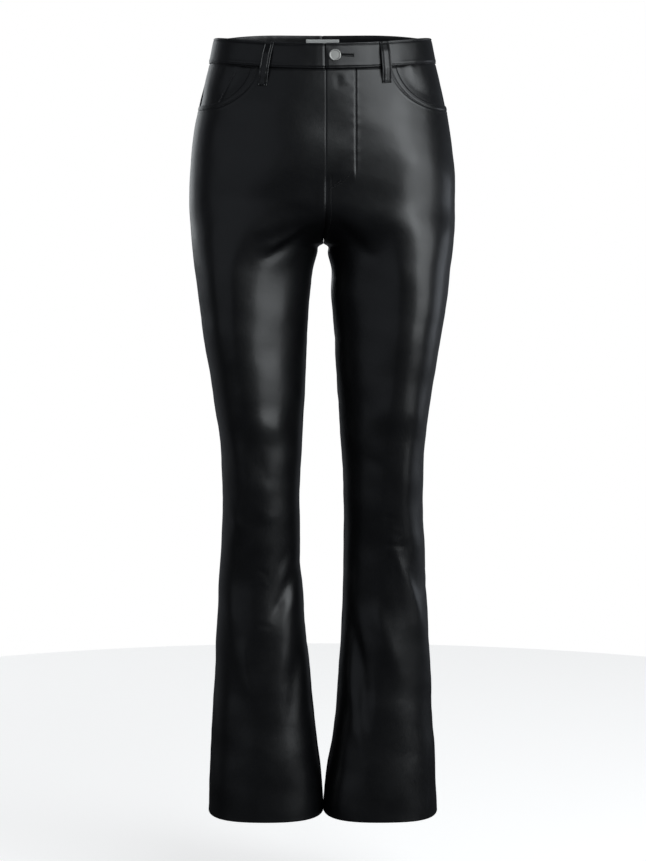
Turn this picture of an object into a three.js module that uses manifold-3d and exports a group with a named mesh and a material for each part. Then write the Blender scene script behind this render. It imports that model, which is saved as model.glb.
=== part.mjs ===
// High-waisted leather trousers, close to the knee and flared to the hem, filled out as if worn.
// Millimetres, +Z up, +X towards the wearer's left, the front faces -Y.
// The origin is in the middle of the waist opening, halfway up the waistband.
import * as THREE from "three";
import { mergeVertices } from "three/addons/utils/BufferGeometryUtils.js";
import Module from "manifold-3d";

const wasm = await Module();
wasm.setup();

// Driving sizes
const CLOTH = 1.2; // wall of one layer of leather
const HEM_CLOTH = 2.4; // the turned-up hem is two layers
const HEM_TURN = 25;
const HEM_STEP = 2; // the turn-up's raw edge tapers off over this much either way
const SEAM_GAP = 0.3;
const LAYER_GAP = 0.3;
const CROTCH_HEIGHT = 790; // all heights are above the hem
const FORK_HEIGHT = 3; // the inseams end in a row of points this far below the crotch
const WAIST_SEAM = 1034.5; // at the side seam
const WAIST_TOP = 1069; // at the side seam
const WAIST_MIDDLE = (WAIST_SEAM + WAIST_TOP) / 2;
const FRONT_DIP = 14; // how much lower the waist is in front than at the sides
const BACK_CLIMB = 12.5; // and how much higher behind
const TILT_START = 880;
const FRONT_RISE_CURVE = 56; // height over which the front seam curves under to the crotch
const BACK_RISE_CURVE = 140;
const CROTCH_X = 1.4;
const FLY_X = 4.4; // the fly closes a little to the wearer's left
const FLY_SHIFT = 40;

const FRONT = -1;
const BACK = 1;
const LEFT = 1; // the wearer's left, +X
const RIGHT = -1;

// One row for each cross-section. outer is half the width over both side seams, front and back
// are the depths from the side seam, side is the side seam's y, turn moves the most forward line
// of the leg outwards from its middle, and square swells the ellipse towards a rectangle.
const SECTIONS = [
  { height: 0, outer: 160, front: 82, back: 84, side: 4, turn: 0, square: 0.28 },
  { height: 98, outer: 155.5, front: 74, back: 79, side: 5, turn: 0, square: 0.22 },
  { height: 181, outer: 150, front: 68, back: 75, side: 6, turn: 0, square: 0.11 },
  { height: 264, outer: 146, front: 65, back: 74, side: 7, turn: 0, square: 0.02 },
  { height: 346, outer: 141.8, front: 64, back: 75, side: 7, turn: 0.04, square: 0 },
  { height: 429, outer: 139, front: 68, back: 70, side: 4, turn: 0.1, square: 0 },
  { height: 512, outer: 141.8, front: 74, back: 72, side: 3, turn: 0.22, square: 0 },
  { height: 595, outer: 152.8, front: 83, back: 79, side: 3, turn: 0.3, square: 0 },
  { height: 678, outer: 166, front: 89, back: 89, side: 5, turn: 0.3, square: 0 },
  { height: 733, outer: 173.5, front: 92, back: 98, side: 7, turn: 0.25, square: 0.01 },
  { height: 790, outer: 180.1, front: 93, back: 110, side: 8, turn: 0.12, square: 0.04 },
  { height: 843, outer: 182.5, front: 101, back: 123, side: 7, turn: 0.02, square: 0.16 },
  { height: 898, outer: 180.5, front: 104, back: 124, side: 4, turn: 0, square: 0.2 },
  { height: 954, outer: 173.2, front: 99, back: 113, side: 2, turn: 0, square: 0.14 },
  { height: 995, outer: 164.6, front: 94, back: 101, side: 0, turn: 0, square: 0.06 },
  { height: 1033, outer: 154.8, front: 90, back: 92, side: 0, turn: 0, square: 0.01 },
  { height: 1080, outer: 145.5, front: 86, back: 84, side: 0, turn: 0, square: 0 },
];

// Distance of each leg's inseam from the middle plane.
const INSEAMS = [
  { height: 0, right: -0.9, left: 1.4 },
  { height: 28, right: -0.3, left: 2.1 },
  { height: 98, right: 8.3, left: 13.1 },
  { height: 181, right: 16.6, left: 21.4 },
  { height: 264, right: 24.8, left: 26.9 },
  { height: 346, right: 30.4, left: 29.7 },
  { height: 429, right: 31.7, left: 29.7 },
  { height: 512, right: 29, left: 25.5 },
  { height: 595, right: 24.8, left: 20 },
  { height: 678, right: 20.7, left: 15.9 },
  { height: 733, right: 16.6, left: 13.1 },
  { height: 767, right: 10.4, left: 10.8 },
  { height: 781, right: 6.9, left: 8 },
  { height: 788, right: 3, left: 5.6 },
  { height: CROTCH_HEIGHT, right: -CROTCH_X, left: CROTCH_X },
];

// The largest folds: a ridge or, with a negative rise, a trough from one point to another as seen
// from the front or from behind. x is from the middle plane, reach is the half width of the fold,
// and bow is how far its middle lies to one side of the straight line.
const FOLDS = [
  { face: FRONT, fromX: -43, fromHeight: 820, toX: -82, toHeight: 803, reach: 9, rise: 1.8, bow: 0 },
  { face: FRONT, fromX: -33, fromHeight: 804, toX: -76, toHeight: 782, reach: 8, rise: 2.4, bow: 0 },
  { face: FRONT, fromX: -24, fromHeight: 803, toX: -73, toHeight: 768, reach: 8, rise: -2.4, bow: 0 },
  { face: FRONT, fromX: 17, fromHeight: 818, toX: 61, toHeight: 773, reach: 10, rise: -1.8, bow: 0 },
  { face: FRONT, fromX: 112, fromHeight: 880, toX: 102, toHeight: 600, reach: 25, rise: 2.6, bow: 0 },
  { face: FRONT, fromX: -52, fromHeight: 538, toX: -98, toHeight: 545, reach: 20, rise: 2.2, bow: 0 },
  { face: FRONT, fromX: 78, fromHeight: 560, toX: 128, toHeight: 552, reach: 22, rise: 2.2, bow: 0 },
  { face: FRONT, fromX: -122, fromHeight: 535, toX: -122, toHeight: 376, reach: 12, rise: 3.2, bow: -15 },
  { face: FRONT, fromX: 130, fromHeight: 545, toX: 121, toHeight: 374, reach: 12, rise: 3.2, bow: 14 },
  { face: FRONT, fromX: -36, fromHeight: 346, toX: -66, toHeight: 281, reach: 9, rise: -2.8, bow: 0 },
  { face: FRONT, fromX: -44, fromHeight: 330, toX: -66, toHeight: 188, reach: 12, rise: 2.4, bow: -8 },
  { face: FRONT, fromX: -131, fromHeight: 318, toX: -104, toHeight: 184, reach: 12, rise: 2.2, bow: 0 },
  { face: FRONT, fromX: -32, fromHeight: 230, toX: -45, toHeight: 136, reach: 9, rise: -2, bow: 0 },
  { face: FRONT, fromX: 98, fromHeight: 372, toX: 144, toHeight: 190, reach: 11, rise: 2.6, bow: -4 },
  { face: FRONT, fromX: 74, fromHeight: 287, toX: 104, toHeight: 200, reach: 12, rise: 1.9, bow: 0 },
  { face: FRONT, fromX: 35, fromHeight: 276, toX: 56, toHeight: 134, reach: 9, rise: -2.6, bow: -6 },
  { face: FRONT, fromX: 37, fromHeight: 200, toX: 52, toHeight: 98, reach: 9, rise: 1.8, bow: 0 },
  { face: BACK, fromX: 14, fromHeight: 790, toX: 84, toHeight: 760, reach: 12, rise: -3.4, bow: 0 },
  { face: BACK, fromX: -16, fromHeight: 785, toX: -90, toHeight: 758, reach: 12, rise: -3.4, bow: 0 },
  { face: BACK, fromX: 22, fromHeight: 768, toX: 96, toHeight: 732, reach: 12, rise: 2.4, bow: 0 },
  { face: BACK, fromX: -24, fromHeight: 760, toX: -84, toHeight: 726, reach: 12, rise: 2.4, bow: 0 },
  { face: BACK, fromX: 44, fromHeight: 452, toX: 114, toHeight: 430, reach: 11, rise: -3.2, bow: 5 },
  { face: BACK, fromX: -48, fromHeight: 440, toX: -118, toHeight: 462, reach: 11, rise: -3.2, bow: -5 },
  { face: BACK, fromX: 54, fromHeight: 410, toX: 118, toHeight: 380, reach: 11, rise: 2.6, bow: 4 },
  { face: BACK, fromX: -52, fromHeight: 402, toX: -110, toHeight: 388, reach: 11, rise: 2.6, bow: -4 },
  { face: BACK, fromX: 66, fromHeight: 330, toX: 92, toHeight: 120, reach: 13, rise: 2.4, bow: -6 },
  { face: BACK, fromX: -70, fromHeight: 320, toX: -84, toHeight: 110, reach: 13, rise: 2.4, bow: 6 },
  { face: BACK, fromX: 112, fromHeight: 300, toX: 126, toHeight: 140, reach: 12, rise: -2.2, bow: 0 },
  { face: BACK, fromX: -116, fromHeight: 310, toX: -124, toHeight: 150, reach: 12, rise: -2.2, bow: 0 },
];
const FOLD_TAPER = 0.3; // share of a fold's length over which it dies out at either side of its end

const LEATHER = new THREE.MeshStandardMaterial({ color: 0x17181b, roughness: 0.34, metalness: 0 });
const LABEL_CLOTH = new THREE.MeshStandardMaterial({ color: 0xc4c4c2, roughness: 0.85, metalness: 0 });
const BUTTON_METAL = new THREE.MeshStandardMaterial({ color: 0xb9bab8, roughness: 0.3, metalness: 1 });

// A smooth curve through one column of a table, as a natural cubic spline over height.
function splineOf(table, column) {
  const x = table.map((row) => row.height);
  const y = table.map((row) => row[column]);
  const last = x.length - 1;
  const bend = new Array(x.length).fill(0);
  const carry = new Array(x.length).fill(0);
  for (let i = 1; i < last; i++) {
    const share = (x[i] - x[i - 1]) / (x[i + 1] - x[i - 1]);
    const pivot = share * bend[i - 1] + 2;
    const turn = (y[i + 1] - y[i]) / (x[i + 1] - x[i]) - (y[i] - y[i - 1]) / (x[i] - x[i - 1]);
    bend[i] = (share - 1) / pivot;
    carry[i] = ((6 * turn) / (x[i + 1] - x[i - 1]) - share * carry[i - 1]) / pivot;
  }
  for (let i = last - 1; i > 0; i--) bend[i] = bend[i] * bend[i + 1] + carry[i];
  bend[0] = 0;
  bend[last] = 0;
  return (height) => {
    const at = Math.min(Math.max(height, x[0]), x[last]);
    let i = 1;
    while (i < last && at > x[i]) i++;
    const step = x[i] - x[i - 1];
    const a = (x[i] - at) / step;
    const b = 1 - a;
    const curve = (a ** 3 - a) * bend[i - 1] + (b ** 3 - b) * bend[i];
    return a * y[i - 1] + b * y[i] + (curve * step * step) / 6;
  };
}

const outerAt = splineOf(SECTIONS, "outer");
const sideAt = splineOf(SECTIONS, "side");
const turnAt = splineOf(SECTIONS, "turn");
const squareAt = splineOf(SECTIONS, "square");
const depthAt = { [FRONT]: splineOf(SECTIONS, "front"), [BACK]: splineOf(SECTIONS, "back") };
const inseamAt = { [RIGHT]: splineOf(INSEAMS, "right"), [LEFT]: splineOf(INSEAMS, "left") };
const smooth = THREE.MathUtils.smoothstep;
const { lerp, clamp } = THREE.MathUtils;

// How far the leg still stands apart from the other at this height: 1 at the crotch and below,
// falling to 0 where front or back is one smooth surface from side seam to side seam.
function partingAt(face, height) {
  const curve = face === FRONT ? FRONT_RISE_CURVE : BACK_RISE_CURVE;
  return (1 - clamp((height - CROTCH_HEIGHT) / curve, 0, 1) ** 2) ** 2;
}

// x of the seam in the middle: the fly and front seam, or the seat seam.
function middleX(face, height) {
  const top = face === FRONT ? FLY_X : 0;
  return lerp(CROTCH_X, top, smooth(height, CROTCH_HEIGHT, CROTCH_HEIGHT + FLY_SHIFT));
}

// The inner end of a leg's half ellipse: the inseam, and above the crotch where it would end if it
// weren't cut off at the middle seam.
function innerEnd(face, leg, height) {
  if (height < CROTCH_HEIGHT) return inseamAt[leg](height);
  const seam = leg * middleX(face, height);
  const parting = partingAt(face, height);
  return seam - ((outerAt(height) - seam) * (1 - parting)) / (1 + parting);
}

// The inner end bends sharply at the crotch. The leg as a whole follows it smoothed over
// SOFT_SPREAD, and only the cloth near the inseam follows it exactly.
const SOFT_SPREAD = 15;
const SOFT_REACH = 45;
const SOFT_TOP = 1130;
function softened(face, leg) {
  const ends = Array.from({ length: SOFT_TOP + 2 * SOFT_REACH + 1 }, (_, i) => {
    return innerEnd(face, leg, i - SOFT_REACH);
  });
  const weights = Array.from({ length: 2 * SOFT_REACH + 1 }, (_, i) => {
    return Math.exp(-(((i - SOFT_REACH) / SOFT_SPREAD) ** 2) / 2);
  });
  const total = weights.reduce((sum, weight) => sum + weight, 0);
  return Array.from({ length: SOFT_TOP + 1 }, (_, i) => {
    return weights.reduce((sum, weight, k) => sum + weight * ends[i + k], 0) / total;
  });
}

const SOFT_ENDS = new Map();
for (const face of [FRONT, BACK]) {
  for (const leg of [LEFT, RIGHT]) SOFT_ENDS.set(`${face} ${leg}`, softened(face, leg));
}

function softEnd(face, leg, height) {
  const ends = SOFT_ENDS.get(`${face} ${leg}`);
  const at = clamp(height, 0, SOFT_TOP - 1);
  const below = Math.floor(at);
  return lerp(ends[below], ends[below + 1], at - below);
}

// Middle and half width of one leg's section, and what the cloth near the inseam adds to it.
function spanAt(face, leg, height) {
  const outer = outerAt(height);
  const soft = softEnd(face, leg, height);
  const step = leg * middleX(face, CROTCH_HEIGHT) - softEnd(face, leg, CROTCH_HEIGHT);
  const fade = 1 - smooth(height, CROTCH_HEIGHT, CROTCH_HEIGHT + 3 * SOFT_SPREAD);
  const own = height < CROTCH_HEIGHT ? inseamAt[leg](height) - soft : step * fade;
  return { middle: (outer + soft) / 2, half: (outer - soft) / 2, own };
}

// Distance of a point from the middle plane, on its leg's side.
function acrossAt({ middle, half, own }, angle) {
  return middle + half * Math.cos(angle) + own * smooth(angle, Math.PI / 2, Math.PI) ** 3;
}

// The waist dips in front and rises behind. The tilt fades out down to the hips.
function heightOf(face, angle, level) {
  const out = Math.cos(Math.min(angle, Math.PI / 2)) ** 2;
  const tilt = face === FRONT ? FRONT_DIP * (out - 1) : BACK_CLIMB * (1 - out * out);
  return level + tilt * smooth(level, TILT_START, WAIST_SEAM);
}

// A point of the smooth form: angle 0 is the side seam and grows towards the middle seam or inseam.
function formPoint(face, leg, angle, level) {
  const height = heightOf(face, angle, level);
  const turn = face === FRONT ? turnAt(height) : 0;
  const round = Math.sin(angle + turn * Math.sin(angle));
  const depth = depthAt[face](height) * round * (1 + squareAt(height) * Math.cos(angle) ** 2);
  const x = leg * acrossAt(spanAt(face, leg, height), angle);
  return new THREE.Vector3(x, sideAt(height) + face * depth, height - WAIST_MIDDLE);
}

// The outward normal of the smooth form.
function normalAt(face, leg, angle, level) {
  const step = 0.004;
  const rise = 0.5;
  const along = formPoint(face, leg, angle + step, level).sub(formPoint(face, leg, angle - step, level));
  const up = formPoint(face, leg, angle, level + rise).sub(formPoint(face, leg, angle, level - rise));
  return along.cross(up).multiplyScalar(face * leg).normalize();
}

// How far the folds lift or sink the cloth at a point seen from the front or from behind.
function foldAt(face, x, height) {
  let total = 0;
  for (const fold of FOLDS) {
    if (fold.face !== face || fold.fromX * x < 0) continue;
    const runX = fold.toX - fold.fromX;
    const runHeight = fold.toHeight - fold.fromHeight;
    const length = Math.hypot(runX, runHeight);
    const alongX = x - fold.fromX;
    const alongHeight = height - fold.fromHeight;
    const share = (alongX * runX + alongHeight * runHeight) / length ** 2;
    const bow = 4 * fold.bow * clamp(share, 0, 1) * (1 - clamp(share, 0, 1));
    const across = (alongX * runHeight - alongHeight * runX) / length - bow;
    const start = smooth(share, -FOLD_TAPER, FOLD_TAPER);
    const end = 1 - smooth(share, 1 - FOLD_TAPER, 1 + FOLD_TAPER);
    total += fold.rise * start * end * Math.exp(-((across / fold.reach) ** 2));
  }
  return total;
}

// A point of the cloth, lifted off the form along its normal.
function clothPoint(face, leg, angle, level, lift) {
  const point = formPoint(face, leg, angle, level);
  const fold = foldAt(face, point.x, point.z + WAIST_MIDDLE);
  return point.addScaledVector(normalAt(face, leg, angle, level), fold + lift);
}

// The angle of the point at a distance from the middle plane, by halving.
function angleAcross(face, leg, across, level) {
  let low = 0;
  let high = Math.PI;
  for (let i = 0; i < 30; i++) {
    const angle = (low + high) / 2;
    const here = acrossAt(spanAt(face, leg, heightOf(face, angle, level)), angle);
    if (here > across) low = angle;
    else high = angle;
  }
  return high;
}

// The angle of the panel's inner edge, half a seam gap short of the middle seam or inseam.
function innerAngle(face, leg, level) {
  const height = heightOf(face, Math.PI / 2, level);
  const atInseam = Math.PI - SEAM_GAP / 2 / depthAt[face](height);
  if (height < CROTCH_HEIGHT) return atInseam;
  return Math.min(atInseam, angleAcross(face, leg, leg * middleX(face, height) + SEAM_GAP / 2, level));
}

// The angle of a point at a given x on the body above the crotch.
function angleAtX(face, leg, x, level) {
  return angleAcross(face, leg, leg * x, level);
}

// A closed wall between two grids of points, outer and inner, with its four edges.
function wallGeometry(rows, columns, outerAtCell, innerAtCell) {
  const positions = [];
  for (const at of [outerAtCell, innerAtCell]) {
    for (let r = 0; r <= rows; r++) {
      for (let c = 0; c <= columns; c++) positions.push(...at(r / rows, c / columns).toArray());
    }
  }
  const width = columns + 1;
  const inner = (rows + 1) * width;
  const indices = [];
  const quad = (a, b, c, d) => indices.push(a, b, c, a, c, d);
  for (let r = 0; r < rows; r++) {
    for (let c = 0; c < columns; c++) {
      const a = r * width + c;
      quad(a, a + 1, a + width + 1, a + width);
      quad(inner + a, inner + a + width, inner + a + width + 1, inner + a + 1);
    }
  }
  for (let c = 0; c < columns; c++) {
    const top = rows * width + c;
    quad(c, inner + c, inner + c + 1, c + 1);
    quad(top, top + 1, inner + top + 1, inner + top);
  }
  for (let r = 0; r < rows; r++) {
    const start = r * width;
    const end = start + columns;
    quad(start, start + width, inner + start + width, inner + start);
    quad(end, inner + end, inner + end + width, end + width);
  }
  const geometry = new THREE.BufferGeometry();
  geometry.setAttribute("position", new THREE.Float32BufferAttribute(positions, 3));
  geometry.setIndex(indices);
  return facingOut(geometry);
}

// Turns the faces round if they point inwards.
function facingOut(geometry) {
  const p = geometry.getAttribute("position");
  const index = geometry.index.array;
  const [a, b, c] = [new THREE.Vector3(), new THREE.Vector3(), new THREE.Vector3()];
  let volume = 0;
  for (let i = 0; i < index.length; i += 3) {
    a.fromBufferAttribute(p, index[i]);
    b.fromBufferAttribute(p, index[i + 1]);
    c.fromBufferAttribute(p, index[i + 2]);
    volume += a.dot(b.cross(c));
  }
  if (volume < 0) {
    for (let i = 0; i < index.length; i += 3) [index[i + 1], index[i + 2]] = [index[i + 2], index[i + 1]];
  }
  return geometry;
}

// Heights of a panel's rows below the pockets: closer together at the folds and at the crotch.
const POCKET_START = 960;
const ROW_STOPS = [
  { from: 0, to: HEM_TURN - HEM_STEP, rows: 1 },
  { from: HEM_TURN - HEM_STEP, to: HEM_TURN + HEM_STEP, rows: 1 },
  { from: HEM_TURN + HEM_STEP, to: 60, rows: 1 },
  { from: 60, to: 370, rows: 12 },
  { from: 370, to: 470, rows: 5 },
  { from: 470, to: 740, rows: 8 },
  { from: 740, to: 778, rows: 3 },
  { from: 778, to: CROTCH_HEIGHT - FORK_HEIGHT, rows: 1 },
  { from: CROTCH_HEIGHT - FORK_HEIGHT, to: CROTCH_HEIGHT, rows: 1 },
  { from: CROTCH_HEIGHT, to: 798, rows: 2 },
  { from: 798, to: 840, rows: 4 },
  { from: 840, to: POCKET_START, rows: 4 },
];
const LEG_LEVELS = ROW_STOPS.flatMap(({ from, to, rows }) =>
  Array.from({ length: rows }, (_, i) => lerp(from, to, i / rows)),
);
const PANEL_COLUMNS = 12;
const SIDE_RADIUS = 80; // a middling front and back depth
const SEAM_EDGE = SEAM_GAP / 2 / SIDE_RADIUS; // the angle of half a seam gap at the side seam

// The front pocket's mouth curves from the side seam up to the waist seam. Across it goes by the
// angle from the side seam, down it goes by the drop from the waist seam.
const MOUTH_DROP = 57.5;
const MOUTH_ANGLE = 0.9;
const MOUTH_ACROSS_POWER = 4.3;
const MOUTH_DOWN_POWER = 1.7;

// The mouth's drop at a share of the way from the side seam to its upper end.
function mouthDrop(share) {
  return MOUTH_DROP * (1 - Math.min(share, 1) ** MOUTH_ACROSS_POWER) ** (1 / MOUTH_DOWN_POWER);
}

// 0 at the corner of waist and side seam, 1 on the mouth, more than 1 under the front panel.
function mouthReach(angle, level) {
  const down = Math.max(0, WAIST_SEAM - level) / MOUTH_DROP;
  return (angle / MOUTH_ANGLE) ** MOUTH_ACROSS_POWER + down ** MOUTH_DOWN_POWER;
}

// Shares of the way round the mouth, closer together at its steep upper end.
const MOUTH_CROWDING = 0.8;
function mouthShare(part) {
  return Math.sin((Math.PI / 2) * part) ** MOUTH_CROWDING;
}

// The inner side of a panel lies deeper along the turned-up hem.
function clothThickness(level) {
  return lerp(HEM_CLOTH, CLOTH, smooth(level, HEM_TURN - HEM_STEP, HEM_TURN + HEM_STEP));
}

// Each edge of a row: the level and angle where it starts at the middle and ends at the side.
function panelRows(face) {
  const rows = LEG_LEVELS.map((level) => ({ inner: level, outer: level, angle: SEAM_EDGE }));
  const waist = WAIST_SEAM - SEAM_GAP / 2;
  if (face === BACK) {
    const steps = 4;
    for (let i = 0; i <= steps; i++) {
      const level = lerp(POCKET_START, waist, i / steps);
      rows.push({ inner: level, outer: level, angle: SEAM_EDGE });
    }
    return rows;
  }
  const mouthSteps = 10;
  for (let i = 0; i <= mouthSteps; i++) {
    const share = mouthShare(i / mouthSteps);
    rows.push({
      inner: lerp(POCKET_START, waist, i / mouthSteps),
      outer: Math.min(WAIST_SEAM - mouthDrop(share), waist),
      angle: Math.max(MOUTH_ANGLE * share, SEAM_EDGE),
    });
  }
  return rows;
}

function panelGeometry(face, leg) {
  const rows = panelRows(face);
  const last = rows.length - 1;
  const at = (inside) => (v, u) => {
    const row = rows[Math.round(v * last)];
    const level = lerp(row.inner, row.outer, u);
    const angle = lerp(innerAngle(face, leg, level), row.angle, u);
    return clothPoint(face, leg, angle, level, inside ? -clothThickness(level) : 0);
  };
  return wallGeometry(last, PANEL_COLUMNS, at(false), at(true));
}

// The pocket facing shows above the mouth and runs on under the front panel.
const FACING_LAP = 1.13; // its edge lies this much further out than the mouth
const FACING_END = 0.985; // share of the way round at which its upper end is cut off
const FACING_SINK = CLOTH + 0.8;
const COIN_SINK = 1.3; // further in, where the coin pocket lies between facing and panel
const COIN_SINK_ANGLES = { from: 0.25, to: 0.6 };
const SINK_REACHES = { from: 0.1, to: 0.75 };
function facingLift(angle, level) {
  const sink = FACING_SINK + COIN_SINK * smooth(angle, COIN_SINK_ANGLES.from, COIN_SINK_ANGLES.to);
  return -sink * smooth(mouthReach(angle, level), SINK_REACHES.from, SINK_REACHES.to);
}

function facingGeometry(leg) {
  const rows = 6;
  const columns = 14;
  const waist = WAIST_SEAM - SEAM_GAP / 2;
  const at = (depth) => (v, u) => {
    const share = FACING_END * mouthShare(u);
    const angle = Math.max(MOUTH_ANGLE * FACING_LAP * share, SEAM_EDGE);
    const level = lerp(WAIST_SEAM - FACING_LAP * mouthDrop(share), waist, v);
    return clothPoint(FRONT, leg, angle, level, facingLift(angle, level) - depth);
  };
  return wallGeometry(rows, columns, at(0), at(CLOTH));
}

// The coin pocket lies on the right facing. Its outer edge shows, the rest is under the panel.
const COIN_TOP = WAIST_SEAM - 10;
const COIN_BOTTOM = WAIST_SEAM - 53;
const COIN_CLOTH = 1;
const COIN_EDGE = { top: 0.7, bottom: 0.55, inner: 0.93 }; // angles from the side seam
function coinPocketGeometry() {
  const at = (height) => (v, u) => {
    const level = lerp(COIN_BOTTOM, COIN_TOP, v);
    const angle = lerp(lerp(COIN_EDGE.bottom, COIN_EDGE.top, v), COIN_EDGE.inner, u);
    return clothPoint(FRONT, RIGHT, angle, level, facingLift(angle, level) + LAYER_GAP + height);
  };
  return wallGeometry(6, 5, at(COIN_CLOTH), at(0));
}

// Waistband: two layers, turned over at the top. Each half runs from the seat seam to the fly.
const BAND = 2.4;
const BAND_PROUD = 0.8; // the band's outer face over the panels
const BAND_ROUND = 0.2; // it swells this much halfway up
const BAND_EDGE = 0.7; // its seamed lower edge is turned in by this much
const LAP_GAP = 0.6;
const LAP_LIFT = (BAND + LAP_GAP) / 2;
const LAP_END = 36; // x to which the right half runs on under the left one
const LEFT_LAP_SLOPE = { from: LAP_END + 8, to: LAP_END + 34 };
const RIGHT_LAP_SLOPE = { from: FLY_X - 9, to: FLY_X - 1 };
const BAND_STEPS = 13; // from the side seam to the middle, in front and behind
const LAP_STEPS = 6;
// Profile of the band: lift off the form, and height in the band from 0 to 1.
const BAND_PROFILE = [
  { lift: BAND_PROUD - BAND_EDGE, up: 0 },
  { lift: BAND_PROUD, up: 0.03 },
  { lift: BAND_PROUD + BAND_ROUND, up: 0.5 },
  { lift: BAND_PROUD, up: 0.96 },
  { lift: BAND_PROUD - BAND / 2, up: 1 },
  { lift: BAND_PROUD - BAND, up: 0.96 },
  { lift: BAND_PROUD - BAND, up: 0.5 },
  { lift: BAND_PROUD - BAND, up: 0 },
];

// Where the halves of the waistband cross, the left one rises and the right one sinks.
function lapLift(face, leg, x) {
  if (face === BACK) return 0;
  if (leg === LEFT) return LAP_LIFT * (1 - smooth(x, LEFT_LAP_SLOPE.from, LEFT_LAP_SLOPE.to));
  return -LAP_LIFT * smooth(x, RIGHT_LAP_SLOPE.from, RIGHT_LAP_SLOPE.to);
}

// Stations along the band from the seat seam round the side to its front end.
function bandStations(leg) {
  const toSide = (i) => (level) => lerp(innerAngle(BACK, leg, level), 0, i / BAND_STEPS);
  const toFront = (i) => (level) => lerp(0, innerAngle(FRONT, leg, level), i / BAND_STEPS);
  const toLapEnd = (i) => (level) => angleAtX(FRONT, LEFT, lerp(FLY_X, LAP_END, i / LAP_STEPS), level);
  const stations = [];
  for (let i = 0; i < BAND_STEPS; i++) stations.push({ face: BACK, half: leg, angleAt: toSide(i) });
  for (let i = 0; i <= BAND_STEPS; i++) stations.push({ face: FRONT, half: leg, angleAt: toFront(i) });
  if (leg === LEFT) return stations;
  for (let i = 1; i <= LAP_STEPS; i++) stations.push({ face: FRONT, half: LEFT, angleAt: toLapEnd(i) });
  return stations;
}

function bandGeometry(leg) {
  const stations = bandStations(leg);
  const ring = BAND_PROFILE.length;
  const positions = [];
  for (const { face, half, angleAt } of stations) {
    for (const { lift, up } of BAND_PROFILE) {
      const level = lerp(WAIST_SEAM + SEAM_GAP / 2, WAIST_TOP, up);
      const angle = angleAt(level);
      const lap = lapLift(face, leg, formPoint(face, half, angle, level).x);
      positions.push(...clothPoint(face, half, angle, level, lift + lap).toArray());
    }
  }
  const indices = [];
  for (let s = 0; s < stations.length - 1; s++) {
    for (let p = 0; p < ring; p++) {
      const a = s * ring + p;
      const b = s * ring + ((p + 1) % ring);
      indices.push(a, b, b + ring, a, b + ring, a + ring);
    }
  }
  const end = (stations.length - 1) * ring;
  const cap = [[0, 1, 7], [1, 2, 7], [2, 6, 7], [2, 3, 6], [3, 5, 6], [3, 4, 5]];
  for (const [a, b, c] of cap) indices.push(c, b, a, end + a, end + b, end + c);
  const geometry = new THREE.BufferGeometry();
  geometry.setAttribute("position", new THREE.Float32BufferAttribute(positions, 3));
  geometry.setIndex(indices);
  return facingOut(geometry);
}

// Belt loops: strips sewn down at both ends and standing off the waistband between them.
const LOOP_WIDTH = 12.4;
const LOOP_CLOTH = 2;
const LOOP_STAND = 2.6;
const LOOP_TOP = WAIST_TOP - 1;
const LOOP_RISE = { from: 0.06, to: 0.3 }; // shares of its length over which a loop leaves the cloth
const LOOP_FALL = { from: 0.72, to: 0.96 };
const LOOP_ON_BAND = BAND_PROUD + 0.25;
const LOOPS = [
  { name: "belt_loop_front_right", face: FRONT, topX: -70.4, bottomX: -80.5, below: 26 },
  { name: "belt_loop_front_left", face: FRONT, topX: 81.5, bottomX: 85.8, below: 22 },
  { name: "belt_loop_back_right", face: BACK, topX: -92, bottomX: -96, below: 24 },
  { name: "belt_loop_back_left", face: BACK, topX: 92, bottomX: 96, below: 24 },
  { name: "belt_loop_centre_back", face: BACK, topX: 0, bottomX: 0, below: 24 },
];

function loopGeometry({ face, topX, bottomX, below }) {
  const at = (thickness) => (v, u) => {
    const level = lerp(WAIST_SEAM - below, LOOP_TOP, v);
    const x = lerp(bottomX, topX, v) + (u - 0.5) * LOOP_WIDTH;
    const leg = x < middleX(face, level) ? RIGHT : LEFT;
    const onBand = LOOP_ON_BAND * smooth(level, WAIST_SEAM - 8, WAIST_SEAM - 1);
    const bow = smooth(v, LOOP_RISE.from, LOOP_RISE.to) * (1 - smooth(v, LOOP_FALL.from, LOOP_FALL.to));
    const stand = LOOP_STAND * bow;
    const lift = onBand + LAYER_GAP + stand + thickness;
    return clothPoint(face, leg, angleAtX(face, leg, x, level), level, lift);
  };
  return wallGeometry(14, 2, at(LOOP_CLOTH), at(0));
}

// The label inside the back of the waistband, blank.
const LABEL_WIDTH = 47;
const LABEL_CLOTH_THICKNESS = 1;
const LABEL_BOTTOM = WAIST_SEAM + 6;
const LABEL_TOP = WAIST_TOP - 5;
function labelGeometry() {
  const inside = BAND_PROUD - BAND - LAYER_GAP;
  const at = (depth) => (v, u) => {
    const level = lerp(LABEL_BOTTOM, LABEL_TOP, v);
    const x = (u - 0.5) * LABEL_WIDTH;
    const leg = x < 0 ? RIGHT : LEFT;
    return clothPoint(BACK, leg, angleAtX(BACK, leg, x, level), level, inside - depth);
  };
  return wallGeometry(3, 8, at(0), at(LABEL_CLOTH_THICKNESS));
}

// The shank button stands through the buttonhole at the fly end of the waistband.
const BUTTON_X = 16.4;
const BUTTON_LEVEL = WAIST_SEAM + 18;
const BUTTON_RADIUS = 8.2;
const BUTTON_EDGE = 1.5; // its thickness at the edge
const BUTTON_RING = 2.2; // a shallow groove runs round this far in from the edge
const SHANK_RADIUS = 2;
const SHANK_DEPTH = BAND + 0.1; // it reaches down to the half of the band that it is riveted to
const HOLE_LENGTH = 24;
const HOLE_WIDTH = 1.6;
const EYELET_RADIUS = 2.6;

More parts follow.
